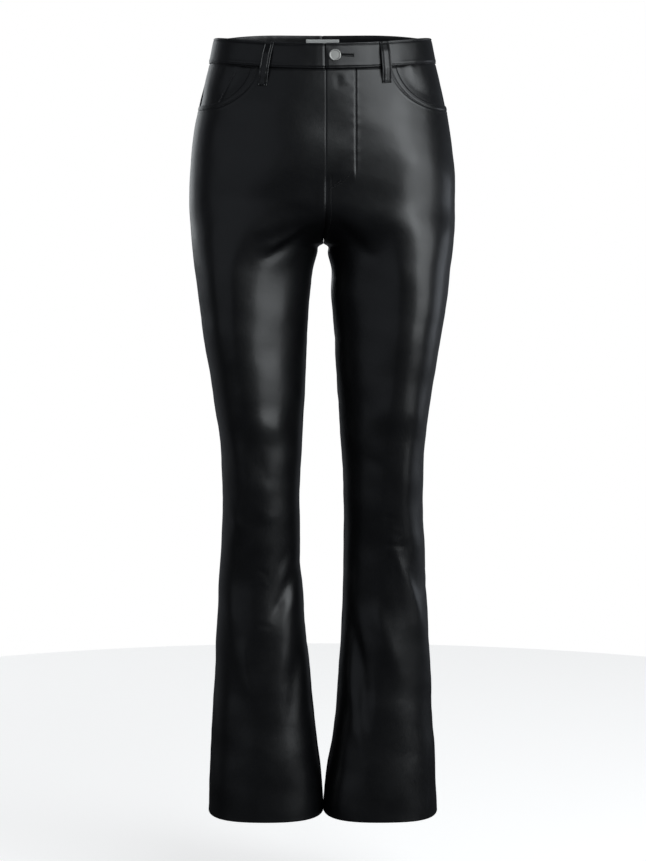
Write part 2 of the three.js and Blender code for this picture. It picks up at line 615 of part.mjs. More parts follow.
// A frame on the waistband's outer face at the button: its origin, the normal as z, along as x.
function buttonPlace() {
  const angle = angleAtX(FRONT, LEFT, BUTTON_X, BUTTON_LEVEL);
  const lift = BAND_PROUD + BAND_ROUND + lapLift(FRONT, LEFT, BUTTON_X);
  const face = clothPoint(FRONT, LEFT, angle, BUTTON_LEVEL, lift);
  const out = normalAt(FRONT, LEFT, angle, BUTTON_LEVEL);
  const up = new THREE.Vector3(0, 0, 1).addScaledVector(out, -out.z).normalize();
  const along = up.clone().cross(out);
  return new THREE.Matrix4().makeBasis(along, up, out).setPosition(face);
}

function buttonGeometry() {
  const top = LAYER_GAP + BUTTON_EDGE;
  const profile = [
    [0, -SHANK_DEPTH],
    [SHANK_RADIUS, -SHANK_DEPTH],
    [SHANK_RADIUS, LAYER_GAP],
    [BUTTON_RADIUS - 0.5, LAYER_GAP],
    [BUTTON_RADIUS, LAYER_GAP + BUTTON_EDGE / 2],
    [BUTTON_RADIUS - 0.5, top],
    [BUTTON_RADIUS - 1.6, top + 0.1],
    [BUTTON_RADIUS - BUTTON_RING, top - 0.25],
    [BUTTON_RADIUS - BUTTON_RING - 1.8, top + 0.15],
    [0, top + 0.55],
  ];
  const points = profile.map(([radius, height]) => new THREE.Vector2(radius, height));
  return new THREE.LatheGeometry(points, 28).rotateX(Math.PI / 2);
}

// The keyhole cut through the left half of the waistband.
function buttonholeCutter() {
  const shape = new THREE.Shape();
  const meet = Math.asin(HOLE_WIDTH / 2 / EYELET_RADIUS);
  shape.absarc(0, 0, EYELET_RADIUS, meet, 2 * Math.PI - meet, false);
  shape.lineTo(HOLE_LENGTH, -HOLE_WIDTH / 2);
  shape.lineTo(HOLE_LENGTH, HOLE_WIDTH / 2);
  const depth = 12;
  const cut = new THREE.ExtrudeGeometry(shape, { depth, bevelEnabled: false, curveSegments: 8 });
  return cut.translate(0, 0, -depth / 2);
}

function solidOf(geometry) {
  const bare = geometry.clone();
  bare.deleteAttribute("normal");
  bare.deleteAttribute("uv");
  const merged = mergeVertices(bare, 1e-4);
  const vertProperties = new Float32Array(merged.getAttribute("position").array);
  const triVerts = new Uint32Array(merged.index.array);
  return new wasm.Manifold(new wasm.Mesh({ numProp: 3, vertProperties, triVerts }));
}

function geometryOf(solid) {
  const { vertProperties, triVerts } = solid.getMesh();
  const geometry = new THREE.BufferGeometry();
  geometry.setAttribute("position", new THREE.BufferAttribute(vertProperties, 3));
  geometry.setIndex(new THREE.BufferAttribute(triVerts, 1));
  return geometry;
}

const trousers = new THREE.Group();
trousers.name = "leather_trousers";

function addPiece(name, geometry, material) {
  const mesh = new THREE.Mesh(geometry, material);
  mesh.name = name;
  trousers.add(mesh);
  return mesh;
}

const SIDES = [
  { side: "left", leg: LEFT },
  { side: "right", leg: RIGHT },
];
for (const { side, leg } of SIDES) {
  addPiece(`front_panel_${side}`, panelGeometry(FRONT, leg), LEATHER);
  addPiece(`back_panel_${side}`, panelGeometry(BACK, leg), LEATHER);
  addPiece(`pocket_facing_${side}`, facingGeometry(leg), LEATHER);
}
addPiece("coin_pocket", coinPocketGeometry(), LEATHER);

const buttonAt = buttonPlace();
const buttonhole = buttonholeCutter().applyMatrix4(buttonAt);
const leftBand = solidOf(bandGeometry(LEFT)).subtract(solidOf(buttonhole));
addPiece("waistband_left", geometryOf(leftBand), LEATHER);
addPiece("waistband_right", bandGeometry(RIGHT), LEATHER);

for (const loop of LOOPS) addPiece(loop.name, loopGeometry(loop), LEATHER);
addPiece("label", labelGeometry(), LABEL_CLOTH);
addPiece("button", buttonGeometry(), BUTTON_METAL).applyMatrix4(buttonAt);

export default trousers;
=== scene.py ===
"""High-waisted black leather trousers, filled out as if worn, in a plain white studio.

The shapes are worked out in millimetres, with heights above the hem, as a cutter measures them, and
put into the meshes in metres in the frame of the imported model.
"""
import math
from collections import namedtuple

import bpy
import numpy as np
from mathutils import Euler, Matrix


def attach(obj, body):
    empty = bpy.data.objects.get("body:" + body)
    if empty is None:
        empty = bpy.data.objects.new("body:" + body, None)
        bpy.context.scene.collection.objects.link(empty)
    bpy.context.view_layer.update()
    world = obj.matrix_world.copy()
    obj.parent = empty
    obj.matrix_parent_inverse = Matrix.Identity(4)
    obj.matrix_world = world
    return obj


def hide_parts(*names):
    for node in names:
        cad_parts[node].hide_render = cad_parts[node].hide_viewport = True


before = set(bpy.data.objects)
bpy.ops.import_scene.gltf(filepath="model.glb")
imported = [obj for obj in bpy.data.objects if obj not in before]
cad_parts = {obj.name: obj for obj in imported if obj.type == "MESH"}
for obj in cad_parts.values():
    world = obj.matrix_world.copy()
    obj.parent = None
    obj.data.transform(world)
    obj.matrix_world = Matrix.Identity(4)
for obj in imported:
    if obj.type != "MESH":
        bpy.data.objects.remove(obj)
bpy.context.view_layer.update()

MM = 0.001
CLOTH = 1.2
HEM_CLOTH = 2.4
HEM_TURN = 25
HEM_STEP = 2
SEAM_GAP = 0.02
LAYER_GAP = 0.3
CROTCH_HEIGHT = 790
WAIST_SEAM = 1034.5
WAIST_TOP = 1069
WAIST_MIDDLE = (WAIST_SEAM + WAIST_TOP) / 2
FRONT_DIP = 14
BACK_CLIMB = 12.5
TILT_START = 880
FRONT_RISE_CURVE = 56
BACK_RISE_CURVE = 140
CROTCH_X = 1.4
FLY_X = 4.4
FLY_SHIFT = 40

FRONT, BACK = -1, 1
LEFT, RIGHT = 1, -1  # the wearer's left is +X
SIDE_NAMES = {LEFT: "left", RIGHT: "right"}

Section = namedtuple("Section", "height outer front back side turn square", defaults=(0,))
SECTIONS = [
    Section(0, 160, 82, 84, 4, 0, 0.28),
    Section(98, 155.5, 74, 79, 5, 0, 0.22),
    Section(181, 150, 68, 75, 6, 0, 0.11),
    Section(264, 146, 65, 74, 7, 0, 0.02),
    Section(346, 141.8, 64, 75, 7, 0.04),
    Section(429, 139, 68, 70, 4, 0.1),
    Section(512, 141.8, 74, 72, 3, 0.22),
    Section(595, 152.8, 83, 79, 3, 0.3),
    Section(678, 166, 89, 89, 5, 0.3),
    Section(733, 173.5, 92, 98, 7, 0.25, 0.01),
    Section(790, 180.1, 93, 110, 8, 0.12, 0.04),
    Section(843, 182.5, 101, 123, 7, 0.02, 0.16),
    Section(898, 180.5, 104, 124, 4, 0, 0.2),
    Section(954, 173.2, 99, 113, 2, 0, 0.14),
    Section(995, 164.6, 94, 101, 0, 0, 0.06),
    Section(1033, 154.8, 90, 92, 0, 0, 0.01),
    Section(1080, 145.5, 86, 84, 0, 0),
]

Inseam = namedtuple("Inseam", "height right left")
INSEAMS = [
    Inseam(0, -0.9, 1.4),
    Inseam(28, -0.3, 2.1),
    Inseam(98, 8.3, 13.1),
    Inseam(181, 16.6, 21.4),
    Inseam(264, 24.8, 26.9),
    Inseam(346, 30.4, 29.7),
    Inseam(429, 31.7, 29.7),
    Inseam(512, 29, 25.5),
    Inseam(595, 24.8, 20),
    Inseam(678, 20.7, 15.9),
    Inseam(733, 16.6, 13.1),
    Inseam(767, 10.4, 10.8),
    Inseam(781, 6.9, 8),
    Inseam(788, 3, 5.6),
    Inseam(CROTCH_HEIGHT, -CROTCH_X, CROTCH_X),
]

# A fold runs from one point to another as seen from the front or from behind, bowed sideways by
# bow. A negative rise is a trough. reach is the half width.
Fold = namedtuple("Fold", "face from_x from_height to_x to_height reach rise bow", defaults=(0,))
FOLDS = [
    Fold(FRONT, -43, 820, -82, 803, 9, 1.8),
    Fold(FRONT, -33, 804, -76, 782, 8, 2.4),
    Fold(FRONT, -24, 803, -73, 768, 8, -2.4),
    Fold(FRONT, 17, 818, 61, 773, 10, -1.8),
    Fold(FRONT, 112, 880, 102, 600, 25, 2.6),
    Fold(FRONT, -52, 538, -98, 545, 20, 2.2),
    Fold(FRONT, 78, 560, 128, 552, 22, 2.2),
    Fold(FRONT, -122, 535, -122, 376, 12, 3.2, -15),
    Fold(FRONT, 130, 545, 121, 374, 12, 3.2, 14),
    Fold(FRONT, -36, 346, -66, 281, 9, -2.8),
    Fold(FRONT, -44, 330, -66, 188, 12, 2.4, -8),
    Fold(FRONT, -131, 318, -104, 184, 12, 2.2),
    Fold(FRONT, -32, 230, -45, 136, 9, -2),
    Fold(FRONT, 98, 372, 144, 190, 11, 2.6, -4),
    Fold(FRONT, 74, 287, 104, 200, 12, 1.9),
    Fold(FRONT, 35, 276, 56, 134, 9, -2.6, -6),
    Fold(FRONT, 37, 200, 52, 98, 9, 1.8),
    Fold(BACK, 14, 790, 84, 760, 12, -3.4),
    Fold(BACK, -16, 785, -90, 758, 12, -3.4),
    Fold(BACK, 22, 768, 96, 732, 12, 2.4),
    Fold(BACK, -24, 760, -84, 726, 12, 2.4),
    Fold(BACK, 44, 452, 114, 430, 11, -3.2, 5),
    Fold(BACK, -48, 440, -118, 462, 11, -3.2, -5),
    Fold(BACK, 54, 410, 118, 380, 11, 2.6, 4),
    Fold(BACK, -52, 402, -110, 388, 11, 2.6, -4),
    Fold(BACK, 66, 330, 92, 120, 13, 2.4, -6),
    Fold(BACK, -70, 320, -84, 110, 13, 2.4, 6),
    Fold(BACK, 112, 300, 126, 140, 12, -2.2),
    Fold(BACK, -116, 310, -124, 150, 12, -2.2),
]
FOLD_TAPER = 0.3  # share of a fold's length over which it dies out at either side of its end


def spline_of(table, column):
    """A natural cubic spline over height: between two rows, a cubic whose bend is continuous."""
    x = np.array([row.height for row in table], float)
    y = np.array([getattr(row, column) for row in table], float)
    step = np.diff(x)
    slope = np.diff(y) / step
    matrix = np.eye(len(x))
    right = np.zeros(len(x))
    for i in range(1, len(x) - 1):
        matrix[i, i - 1:i + 2] = step[i - 1], 2 * (step[i - 1] + step[i]), step[i]
        right[i] = 6 * (slope[i] - slope[i - 1])
    bend = np.linalg.solve(matrix, right)

    def at(height):
        h = np.clip(height, x[0], x[-1])
        i = np.clip(np.searchsorted(x, h, side="left"), 1, len(x) - 1)
        a = (x[i] - h) / step[i - 1]
        b = 1 - a
        curve = (a**3 - a) * bend[i - 1] + (b**3 - b) * bend[i]
        return a * y[i - 1] + b * y[i] + curve * step[i - 1] ** 2 / 6

    return at


outer_at = spline_of(SECTIONS, "outer")
side_at = spline_of(SECTIONS, "side")
turn_at = spline_of(SECTIONS, "turn")
square_at = spline_of(SECTIONS, "square")
depth_at = {FRONT: spline_of(SECTIONS, "front"), BACK: spline_of(SECTIONS, "back")}
inseam_at = {RIGHT: spline_of(INSEAMS, "right"), LEFT: spline_of(INSEAMS, "left")}


def smooth(value, low, high):
    """0 below low, 1 above high, and an s-curve between them."""
    t = np.clip((value - low) / (high - low), 0, 1)
    return t * t * (3 - 2 * t)


def lerp(a, b, share):
    return a + (b - a) * share


def parting_at(face, height):
    """1 at the crotch and below, falling to 0 where the cloth no longer dips between the legs."""
    curve = FRONT_RISE_CURVE if face == FRONT else BACK_RISE_CURVE
    return (1 - np.clip((height - CROTCH_HEIGHT) / curve, 0, 1) ** 2) ** 2


def middle_x(face, height):
    """x of the seam in the middle: the fly and front seam, or the seat seam."""
    top = FLY_X if face == FRONT else 0
    return lerp(CROTCH_X, top, smooth(height, CROTCH_HEIGHT, CROTCH_HEIGHT + FLY_SHIFT))


def inner_end(face, leg, height):
    """x of a leg's inner end: the inseam, or higher up where its ellipse would end."""
    outer = outer_at(height)
    seam = leg * middle_x(face, height)
    parting = parting_at(face, height)
    above = seam - (outer - seam) / (1 + parting) * (1 - parting)
    return np.where(height < CROTCH_HEIGHT, inseam_at[leg](height), above)


# The inner end has a sharp bend at the crotch. The leg as a whole follows it smoothed over
# SOFT_SPREAD, and only the cloth close to the inseam follows it exactly.
SOFT_SPREAD = 15
SOFT_REACH = 40  # of the averaging, up and down
SOFT_HEIGHTS = np.arange(0, WAIST_TOP + 60, 1.0)
SOFT_FROM = 0.5 * math.pi


def softened(face, leg):
    """The inner end at each of SOFT_HEIGHTS, as a weighted mean over its neighbours."""
    kernel = np.exp(-((np.arange(-SOFT_REACH, SOFT_REACH + 1) / SOFT_SPREAD) ** 2) / 2)
    padded = inner_end(face, leg, np.arange(-SOFT_REACH, len(SOFT_HEIGHTS) + SOFT_REACH, 1.0))
    return np.convolve(padded, kernel / kernel.sum(), mode="valid")


SOFT_ENDS = {(face, leg): softened(face, leg) for face in (FRONT, BACK) for leg in (LEFT, RIGHT)}


def span_at(face, leg, height):
    """Middle and half width of one leg's section, and what the inseam's own curve adds to it."""
    soft = np.interp(height, SOFT_HEIGHTS, SOFT_ENDS[face, leg])
    outer = outer_at(height)
    fade = 1 - smooth(height, CROTCH_HEIGHT, CROTCH_HEIGHT + 3 * SOFT_SPREAD)
    below = inner_end(face, leg, height) - soft
    own = np.where(height < CROTCH_HEIGHT, below, crotch_step(face, leg) * fade)
    return (outer + soft) / 2, (outer - soft) / 2, own


def crotch_step(face, leg):
    """How far the exact inner end lies from the softened one at the crotch."""
    at = np.array([float(CROTCH_HEIGHT)])
    return (leg * middle_x(face, at) - np.interp(at, SOFT_HEIGHTS, SOFT_ENDS[face, leg]))[0]


def across_at(span, angle):
    """Distance of a point from the middle plane, on its leg's side."""
    middle, half, own = span
    return middle + half * np.cos(angle) + own * smooth(angle, SOFT_FROM, math.pi) ** 3


def height_of(face, angle, level):
    """The waist dips in front and climbs behind, fading out down to the hips."""
    out = np.cos(np.minimum(angle, math.pi / 2)) ** 2
    tilt = FRONT_DIP * (out - 1) if face == FRONT else BACK_CLIMB * (1 - out * out)
    return level + tilt * smooth(level, TILT_START, WAIST_SEAM)


def form_point(face, leg, angle, level):
    """A point of the smooth form: half an ellipse for each leg and face, from side to middle."""
    angle, level = np.broadcast_arrays(np.asarray(angle, float), np.asarray(level, float))
    height = height_of(face, angle, level)
    turn = turn_at(height) if face == FRONT else 0
    bulge = np.sin(angle + turn * np.sin(angle)) * (1 + square_at(height) * np.cos(angle) ** 2)
    x = leg * across_at(span_at(face, leg, height), angle)
    y = side_at(height) + face * depth_at[face](height) * bulge
    return np.stack([x, y, height - WAIST_MIDDLE], axis=-1)


def unit(v):
    return v / np.maximum(np.linalg.norm(v, axis=-1, keepdims=True), 1e-12)


def normal_at(face, leg, angle, level):
    """The outward normal: across the derivatives by angle and by level."""

    def difference(by_angle, by_level):
        beyond = form_point(face, leg, angle + by_angle, level + by_level)
        return beyond - form_point(face, leg, angle - by_angle, level - by_level)

    along, up = difference(0.004, 0), difference(0, 0.5)
    return unit(np.cross(along, up) * face * leg)


def fold_at(folds, face, x, height):
    """The folds' lift: for each, a bell curve over the distance from its bowed line."""
    total = np.zeros_like(x)
    for fold in folds:
        if fold.face != face:
            continue
        run_x = fold.to_x - fold.from_x
        run_height = fold.to_height - fold.from_height
        length = math.hypot(run_x, run_height)
        along_x = x - fold.from_x
        along_height = height - fold.from_height
        along = (along_x * run_x + along_height * run_height) / length
        across = (along_x * run_height - along_height * run_x) / length
        share = np.clip(along / length, 0, 1)
        across = across - fold.bow * 4 * share * (1 - share)
        start = smooth(along / length, -FOLD_TAPER, FOLD_TAPER)
        end = 1 - smooth(along / length, 1 - FOLD_TAPER, 1 + FOLD_TAPER)
        bell = np.exp(-((across / fold.reach) ** 2))
        total += np.where(fold.from_x * x < 0, 0, fold.rise * start * end * bell)
    return total


# Smaller creases and crinkles, in the same words.
FINE_FOLDS = [
    Fold(FRONT, 19, 1012, 21, 996, 4, -0.35),
    Fold(FRONT, 29, 1014, 33, 1000, 5, 0.4),
    Fold(FRONT, -33, 806, -70, 786, 5, 0.8),
    Fold(FRONT, -24, 806, -70, 772, 4.5, -0.9),
    Fold(FRONT, -14, 826, -40, 836, 7, -0.5, 2),
    Fold(FRONT, 18, 816, 58, 776, 6, -0.7, -3),
    Fold(FRONT, -84, 500, -70, 462, 9, -0.7, 4),
    Fold(FRONT, -90, 430, -66, 414, 9, 0.7, 3),
    Fold(FRONT, 66, 498, 94, 462, 9, -0.6, -4),
    Fold(FRONT, -128, 440, -106, 398, 8, 1.2, 4),
    Fold(FRONT, 88, 424, 84, 372, 5, -0.9, -2),
    Fold(FRONT, -49, 366, -72, 304, 7, -0.9, 3),
    Fold(FRONT, -104, 250, -96, 170, 10, 0.8, 6),
    Fold(FRONT, 100, 362, 146, 190, 6, 1.2, -10),
    Fold(FRONT, 40, 270, 56, 150, 6, -1, -8),
    Fold(FRONT, 84, 419, 98, 417, 2.6, -0.5),
    Fold(FRONT, 88, 381, 110, 378, 2.8, -0.7, 1),
    Fold(FRONT, 92, 404, 106, 398, 2.6, 0.4),
    Fold(FRONT, 98, 362, 100, 340, 3, -0.6),
    Fold(FRONT, -88, 345, -74, 337, 2.8, -0.6),
    Fold(FRONT, -84, 330, -72, 322, 2.6, 0.4),
    Fold(FRONT, -88, 270, -70, 265, 3, -0.5),
    Fold(BACK, 14, 812, 70, 800, 7, -1.2, 4),
    Fold(BACK, -12, 806, -78, 790, 7, -1.4, -4),
    Fold(BACK, 20, 752, 74, 716, 7, -1.3, 3),
    Fold(BACK, -26, 744, -88, 700, 7, -1.2, -3),
    Fold(BACK, 36, 478, 126, 486, 6, -1.6, 6),
    Fold(BACK, -40, 484, -116, 474, 6, -1.4, -6),
    Fold(BACK, 44, 432, 96, 404, 5, -1.5, 4),
    Fold(BACK, -52, 424, -128, 432, 5, -1.6, -5),
    Fold(BACK, 58, 392, 128, 400, 5, -1.2, 4),
    Fold(BACK, -46, 380, -98, 362, 5, -1.3, 4),
    Fold(BACK, 84, 366, 60, 344, 4, -0.9),
    Fold(BACK, -80, 414, -104, 404, 3, -0.8),
    Fold(BACK, 78, 448, 104, 440, 3, -0.8),
    Fold(BACK, 44, 300, 58, 130, 8, -1.8, 10),
    Fold(BACK, -44, 290, -54, 120, 8, -1.8, -10),
    Fold(BACK, 96, 290, 132, 110, 8, 1.6, -8),
    Fold(BACK, -98, 280, -130, 120, 8, 1.6, 8),
]

# Long shallow waves of the whole cloth: direction, length of the wave, height and shift.
Wave = namedtuple("Wave", "turn length height shift")
WAVES = [
    Wave(0.30, 118, 0.42, 0.4),
    Wave(1.15, 92, 0.34, 2.1),
    Wave(2.20, 71, 0.26, 4.0),
    Wave(2.85, 140, 0.48, 5.2),
    Wave(0.75, 47, 0.11, 1.3),
    Wave(1.75, 39, 0.08, 3.3),
]


def waves_at(face, x, height):
    """The sum of a few sines that run in different directions."""
    total = np.zeros_like(x)
    for wave in WAVES:
        along = x * math.cos(wave.turn * face) + height * math.sin(wave.turn * face)
        total += wave.height * np.sin(2 * math.pi * along / wave.length + wave.shift)
    return total


def main_folds(face, point):
    return fold_at(FOLDS, face, point[..., 0], point[..., 2] + WAIST_MIDDLE)


def cloth_lift(face, x, height):
    """How far folds and waves lift the cloth, seams and edges aside."""
    folds = fold_at(FOLDS, face, x, height) + fold_at(FINE_FOLDS, face, x, height)
    return folds + waves_at(face, x, height) * smooth(WAIST_SEAM - height, 0, 90)


def cloth_point(face, leg, angle, level, lift=0.0):
    """A point of the cloth, lifted off the smooth form along its normal."""
    point = form_point(face, leg, angle, level)
    total = cloth_lift(face, point[..., 0], point[..., 2] + WAIST_MIDDLE) + lift
    return point + normal_at(face, leg, angle, level) * total[..., None]


HALVINGS = 26


def angle_across(face, leg, across, level):
    """The angle of the point at a distance from the middle plane, by halving."""
    across, level = np.broadcast_arrays(np.asarray(across, float), np.asarray(level, float))
    low, high = np.zeros(across.shape), np.full(across.shape, math.pi)
    for _ in range(HALVINGS):
        angle = (low + high) / 2
        beyond = across_at(span_at(face, leg, height_of(face, angle, level)), angle) > across
        low, high = np.where(beyond, angle, low), np.where(beyond, high, angle)
    return high


def inner_angle(face, leg, level):
    """The angle of a panel's inner edge, half a seam gap short of the middle seam or inseam."""
    height = height_of(face, math.pi / 2, level)
    at_inseam = math.pi - SEAM_GAP / 2 / depth_at[face](height)
    edge = leg * middle_x(face, height) + SEAM_GAP / 2
    high = np.asarray(height) >= CROTCH_HEIGHT
    if not high.any():
        return at_inseam
    at_middle = angle_across(face, leg, edge, level)
    return np.where(high, np.minimum(at_middle, at_inseam), at_inseam)


def angle_at_x(face, leg, x, level):
    """The angle of a point at a given x on the body above the crotch."""
    return angle_across(face, leg, leg * np.asarray(x, float), level)


# Meshes

def add_mesh(name, points_mm, faces, materials, face_materials=None):
    """A smooth object at the origin from points in millimetres and a list of equal-sided faces."""
    mesh = bpy.data.meshes.new(name)
    points = np.asarray(points_mm, np.float32).reshape(-1, 3) * MM
    faces = np.asarray(faces, np.int32)
    sides = faces.shape[1]
    mesh.vertices.add(len(points))
    mesh.vertices.foreach_set("co", points.ravel())
    mesh.loops.add(faces.size)
    mesh.loops.foreach_set("vertex_index", faces.ravel())
    mesh.polygons.add(len(faces))
    mesh.polygons.foreach_set("loop_start", np.arange(0, faces.size, sides, dtype=np.int32))
    mesh.update(calc_edges=True)
    mesh.validate()
    mesh.shade_smooth()
    mesh.set_sharp_from_angle(angle=math.radians(50))
    for material in materials:
        mesh.materials.append(material)
    if face_materials is not None:
        mesh.polygons.foreach_set("material_index", np.asarray(face_materials, np.int32))
    obj = bpy.data.objects.new(name, mesh)
    bpy.context.scene.collection.objects.link(obj)
    return obj


def facing_out(points, faces):
    """The faces, turned round if the volume that they close comes out negative."""
    a, b, c = (points[faces[:, i]] for i in (0, 1, 2))
    d = points[faces[:, -1]]
    volume = (a * np.cross(b, c)).sum() + (a * np.cross(c, d)).sum()
    return faces if volume > 0 else faces[:, ::-1]


def wall_faces(rows, columns):
    """Quads of a closed wall between an outer and an inner grid: two sides and four rims."""
    grid = np.arange(rows * columns).reshape(rows, columns)
    inner = grid + rows * columns
    a, b, c, d = grid[:-1, :-1], grid[:-1, 1:], grid[1:, 1:], grid[1:, :-1]
    outside = np.stack([a, b, c, d], -1).reshape(-1, 4)
    a, b, c, d = inner[:-1, :-1], inner[1:, :-1], inner[1:, 1:], inner[:-1, 1:]
    inside = np.stack([a, b, c, d], -1).reshape(-1, 4)
    rims = []
    for edge, other, turned in (
        (grid[0], inner[0], False),
        (grid[-1], inner[-1], True),
        (grid[:, 0], inner[:, 0], True),
        (grid[:, -1], inner[:, -1], False),
    ):
        rim = np.stack([edge[:-1], other[:-1], other[1:], edge[1:]], -1)
        rims.append(rim[:, ::-1] if turned else rim)
    return outside, inside, np.concatenate(rims)


def add_wall(name, outer, inner, outside_material, inside_material=None):
    """A closed piece of cloth between two grids of points."""
    rows, columns = outer.shape[:2]
    points = np.concatenate([outer.reshape(-1, 3), inner.reshape(-1, 3)])
    outside, inside, rims = wall_faces(rows, columns)
    faces = facing_out(points, np.concatenate([outside, rims, inside]))
    kinds = np.zeros(len(faces), np.int32)
    materials = [outside_material]
    if inside_material is not None:
        kinds[len(outside) + len(rims):] = 1
        materials.append(inside_material)
    return add_mesh(name, points, faces, materials, kinds)


def add_loft(name, rings, materials):
    """A closed bar through rings of points, with each end closed by a fan round its middle."""
    stations, around = rings.shape[:2]
    points = np.concatenate([rings.reshape(-1, 3), rings[0].mean(0)[None], rings[-1].mean(0)[None]])
    grid = np.arange(stations * around).reshape(stations, around)
    beside = np.roll(grid, -1, axis=1)
    skin = np.stack([grid[:-1], beside[:-1], beside[1:], grid[1:]], -1).reshape(-1, 4)
    first = np.full(around // 2, stations * around)
    last = first + 1
    odd = np.arange(0, around, 2)
    after, beyond = (odd + 1) % around, (odd + 2) % around
    start = np.stack([first, grid[0, beyond], grid[0, after], grid[0, odd]], -1)
    end = np.stack([last, grid[-1, odd], grid[-1, after], grid[-1, beyond]], -1)
    faces = facing_out(points, np.concatenate([skin, start, end]))
    return add_mesh(name, points, faces, materials)


# The thread of the seams: each stitch is a short rounded bar that sinks at both ends.
STITCH_AROUND = 6
STITCH_RINGS = 7
STITCH_SINK = 0.2


def stitch_bars(starts, ends, normals, radius):
    """Points and quads of many stitches, each bowed up by its radius between its two holes."""
    share = np.linspace(0, 1, STITCH_RINGS)
    swell = np.sqrt(np.clip(1 - (2 * share - 1) ** 4, 0.02, 1))
    rise = np.sin(math.pi * share)
    along = unit(ends - starts)
    side = unit(np.cross(along, normals))
    up = np.cross(side, along)
    centre = starts[:, None] + (ends - starts)[:, None] * share[None, :, None]
    centre = centre + up[:, None] * (radius * (1.3 * rise - 0.9))[None, :, None]
    turn = np.linspace(0, 2 * math.pi, STITCH_AROUND, endpoint=False)
    cosine, sine = (f(turn)[None, None, :, None] for f in (np.cos, np.sin))
    off = cosine * side[:, None, None] + sine * up[:, None, None]
    points = centre[:, :, None] + off * (radius * swell)[None, :, None, None]
    per = STITCH_RINGS * STITCH_AROUND
    grid = np.arange(per).reshape(STITCH_RINGS, STITCH_AROUND)
    beside = np.roll(grid, -1, axis=1)
    skin = np.stack([grid[:-1], beside[:-1], beside[1:], grid[1:]], -1).reshape(-1, 4)
    caps = []
    for ring, step in ((grid[0], -1), (grid[-1], 1)):
        order = ring[::step]
        caps.append([order[0], order[1], order[2], order[3]])
        caps.append([order[0], order[3], order[4], order[5]])
    faces = np.concatenate([skin, np.array(caps)])
    count = len(starts)
    all_faces = (faces[None] + (np.arange(count) * per)[:, None, None]).reshape(-1, 4)
    return points.reshape(-1, 3), all_faces


class Thread:
    """Gathers stitches of one thread, and makes them one object."""

    def __init__(self, name, material):
        self.name, self.material = name, material
        self.points, self.faces, self.count = [], [], 0

    def bars(self, starts, ends, normals, radius):
        points, faces = stitch_bars(starts, ends, normals, radius)
        self.points.append(points)
        self.faces.append(faces + self.count)
        self.count += len(points)

    def row(self, line, normals, pitch=3.1, length=2.35, radius=0.3):
        """Stitches at an even pitch along a line of points with normals."""
        step = np.linalg.norm(np.diff(line, axis=0), axis=1)
        run = np.concatenate([[0], np.cumsum(step)])
        count = int(run[-1] // pitch)
        if count < 1:
            return
        start = (np.arange(count) + 0.5) * run[-1] / count - length / 2

        def at(values, where):
            return np.stack([np.interp(where, run, values[:, i]) for i in range(3)], -1)

        up = unit(at(normals, start + length / 2))
        self.bars(at(line, start), at(line, start + length), up, radius)

    def finish(self):
        points, faces = np.concatenate(self.points), np.concatenate(self.faces)
        return add_mesh(self.name, points, faces, [self.material])


# Panels

MOUTH_DROP = 57.5  # the pocket's mouth below the waist seam at the side seam
MOUTH_ANGLE = 0.9
MOUTH_ACROSS_POWER = 4.3
MOUTH_DOWN_POWER = 1.7
MOUTH_RADIUS = 92  # of the body at the pockets
SIDE_RADIUS = 80  # of the body at the side seams
SIDE_EDGE = SEAM_GAP / 2 / SIDE_RADIUS
MOUTH_TURN = 6.6  # width of the turned and stitched edge
FAN_START = 940  # from here up the front panel's rows fan out towards the mouth
FAN_FINE = 963
FLY_STITCH = 40  # from the fly's edge
FLY_END = 868
CROTCH_STITCH = 7.7


def mouth_drop(share):
    """The mouth's drop at a share of the way from the side seam to its upper end."""
    across = np.minimum(share, 1) ** MOUTH_ACROSS_POWER
    return MOUTH_DROP * np.maximum(0, 1 - across) ** (1 / MOUTH_DOWN_POWER)


def mouth_reach(angle, level):
    """0 at the corner of waist and side seam, 1 on the mouth, more than 1 under the front panel."""
    down = np.maximum(0, WAIST_SEAM - level) / MOUTH_DROP
    return (angle / MOUTH_ANGLE) ** MOUTH_ACROSS_POWER + down**MOUTH_DOWN_POWER


def even_mouth_shares(count):
    """Shares from 0 to 1 that lie evenly along the mouth's curve."""
    share = np.linspace(0, 1, 4001) ** 0.5
    step = np.hypot(np.diff(share) * MOUTH_ANGLE * MOUTH_RADIUS, np.diff(mouth_drop(share)))
    run = np.concatenate([[0], np.cumsum(step)])
    return np.interp(np.linspace(0, run[-1], count), run, share)


MOUTH_LINE = even_mouth_shares(260)


def from_mouth(angle, level):
    """Distance from the mouth, along the cloth."""
    across = angle * MOUTH_RADIUS
    line_across = MOUTH_LINE * MOUTH_ANGLE * MOUTH_RADIUS
    line_level = WAIST_SEAM - mouth_drop(MOUTH_LINE)
    nearest = np.full(across.shape, 1e9)
    for x, y in zip(line_across, line_level):
        nearest = np.minimum(nearest, (across - x) ** 2 + (level - y) ** 2)
    return np.sqrt(nearest)


def levels_between(start, end, step):
    count = max(1, round((end - start) / step))
    return np.linspace(start, end, count, endpoint=False)


def leg_levels(top):
    """Levels of a panel's rows up to a height, closer together at the hem and at the crotch."""
    return np.concatenate(
        [
            [0, 0.2, 0.5, 0.9, 1.4, 2.1, 3.2],
            levels_between(4.6, 21, 3.2),
            levels_between(21, 30, 1.2),
            levels_between(30, 776, 3.1),
            levels_between(776, 798, 1.1),
            levels_between(798, top, 2.9),
        ]
    )


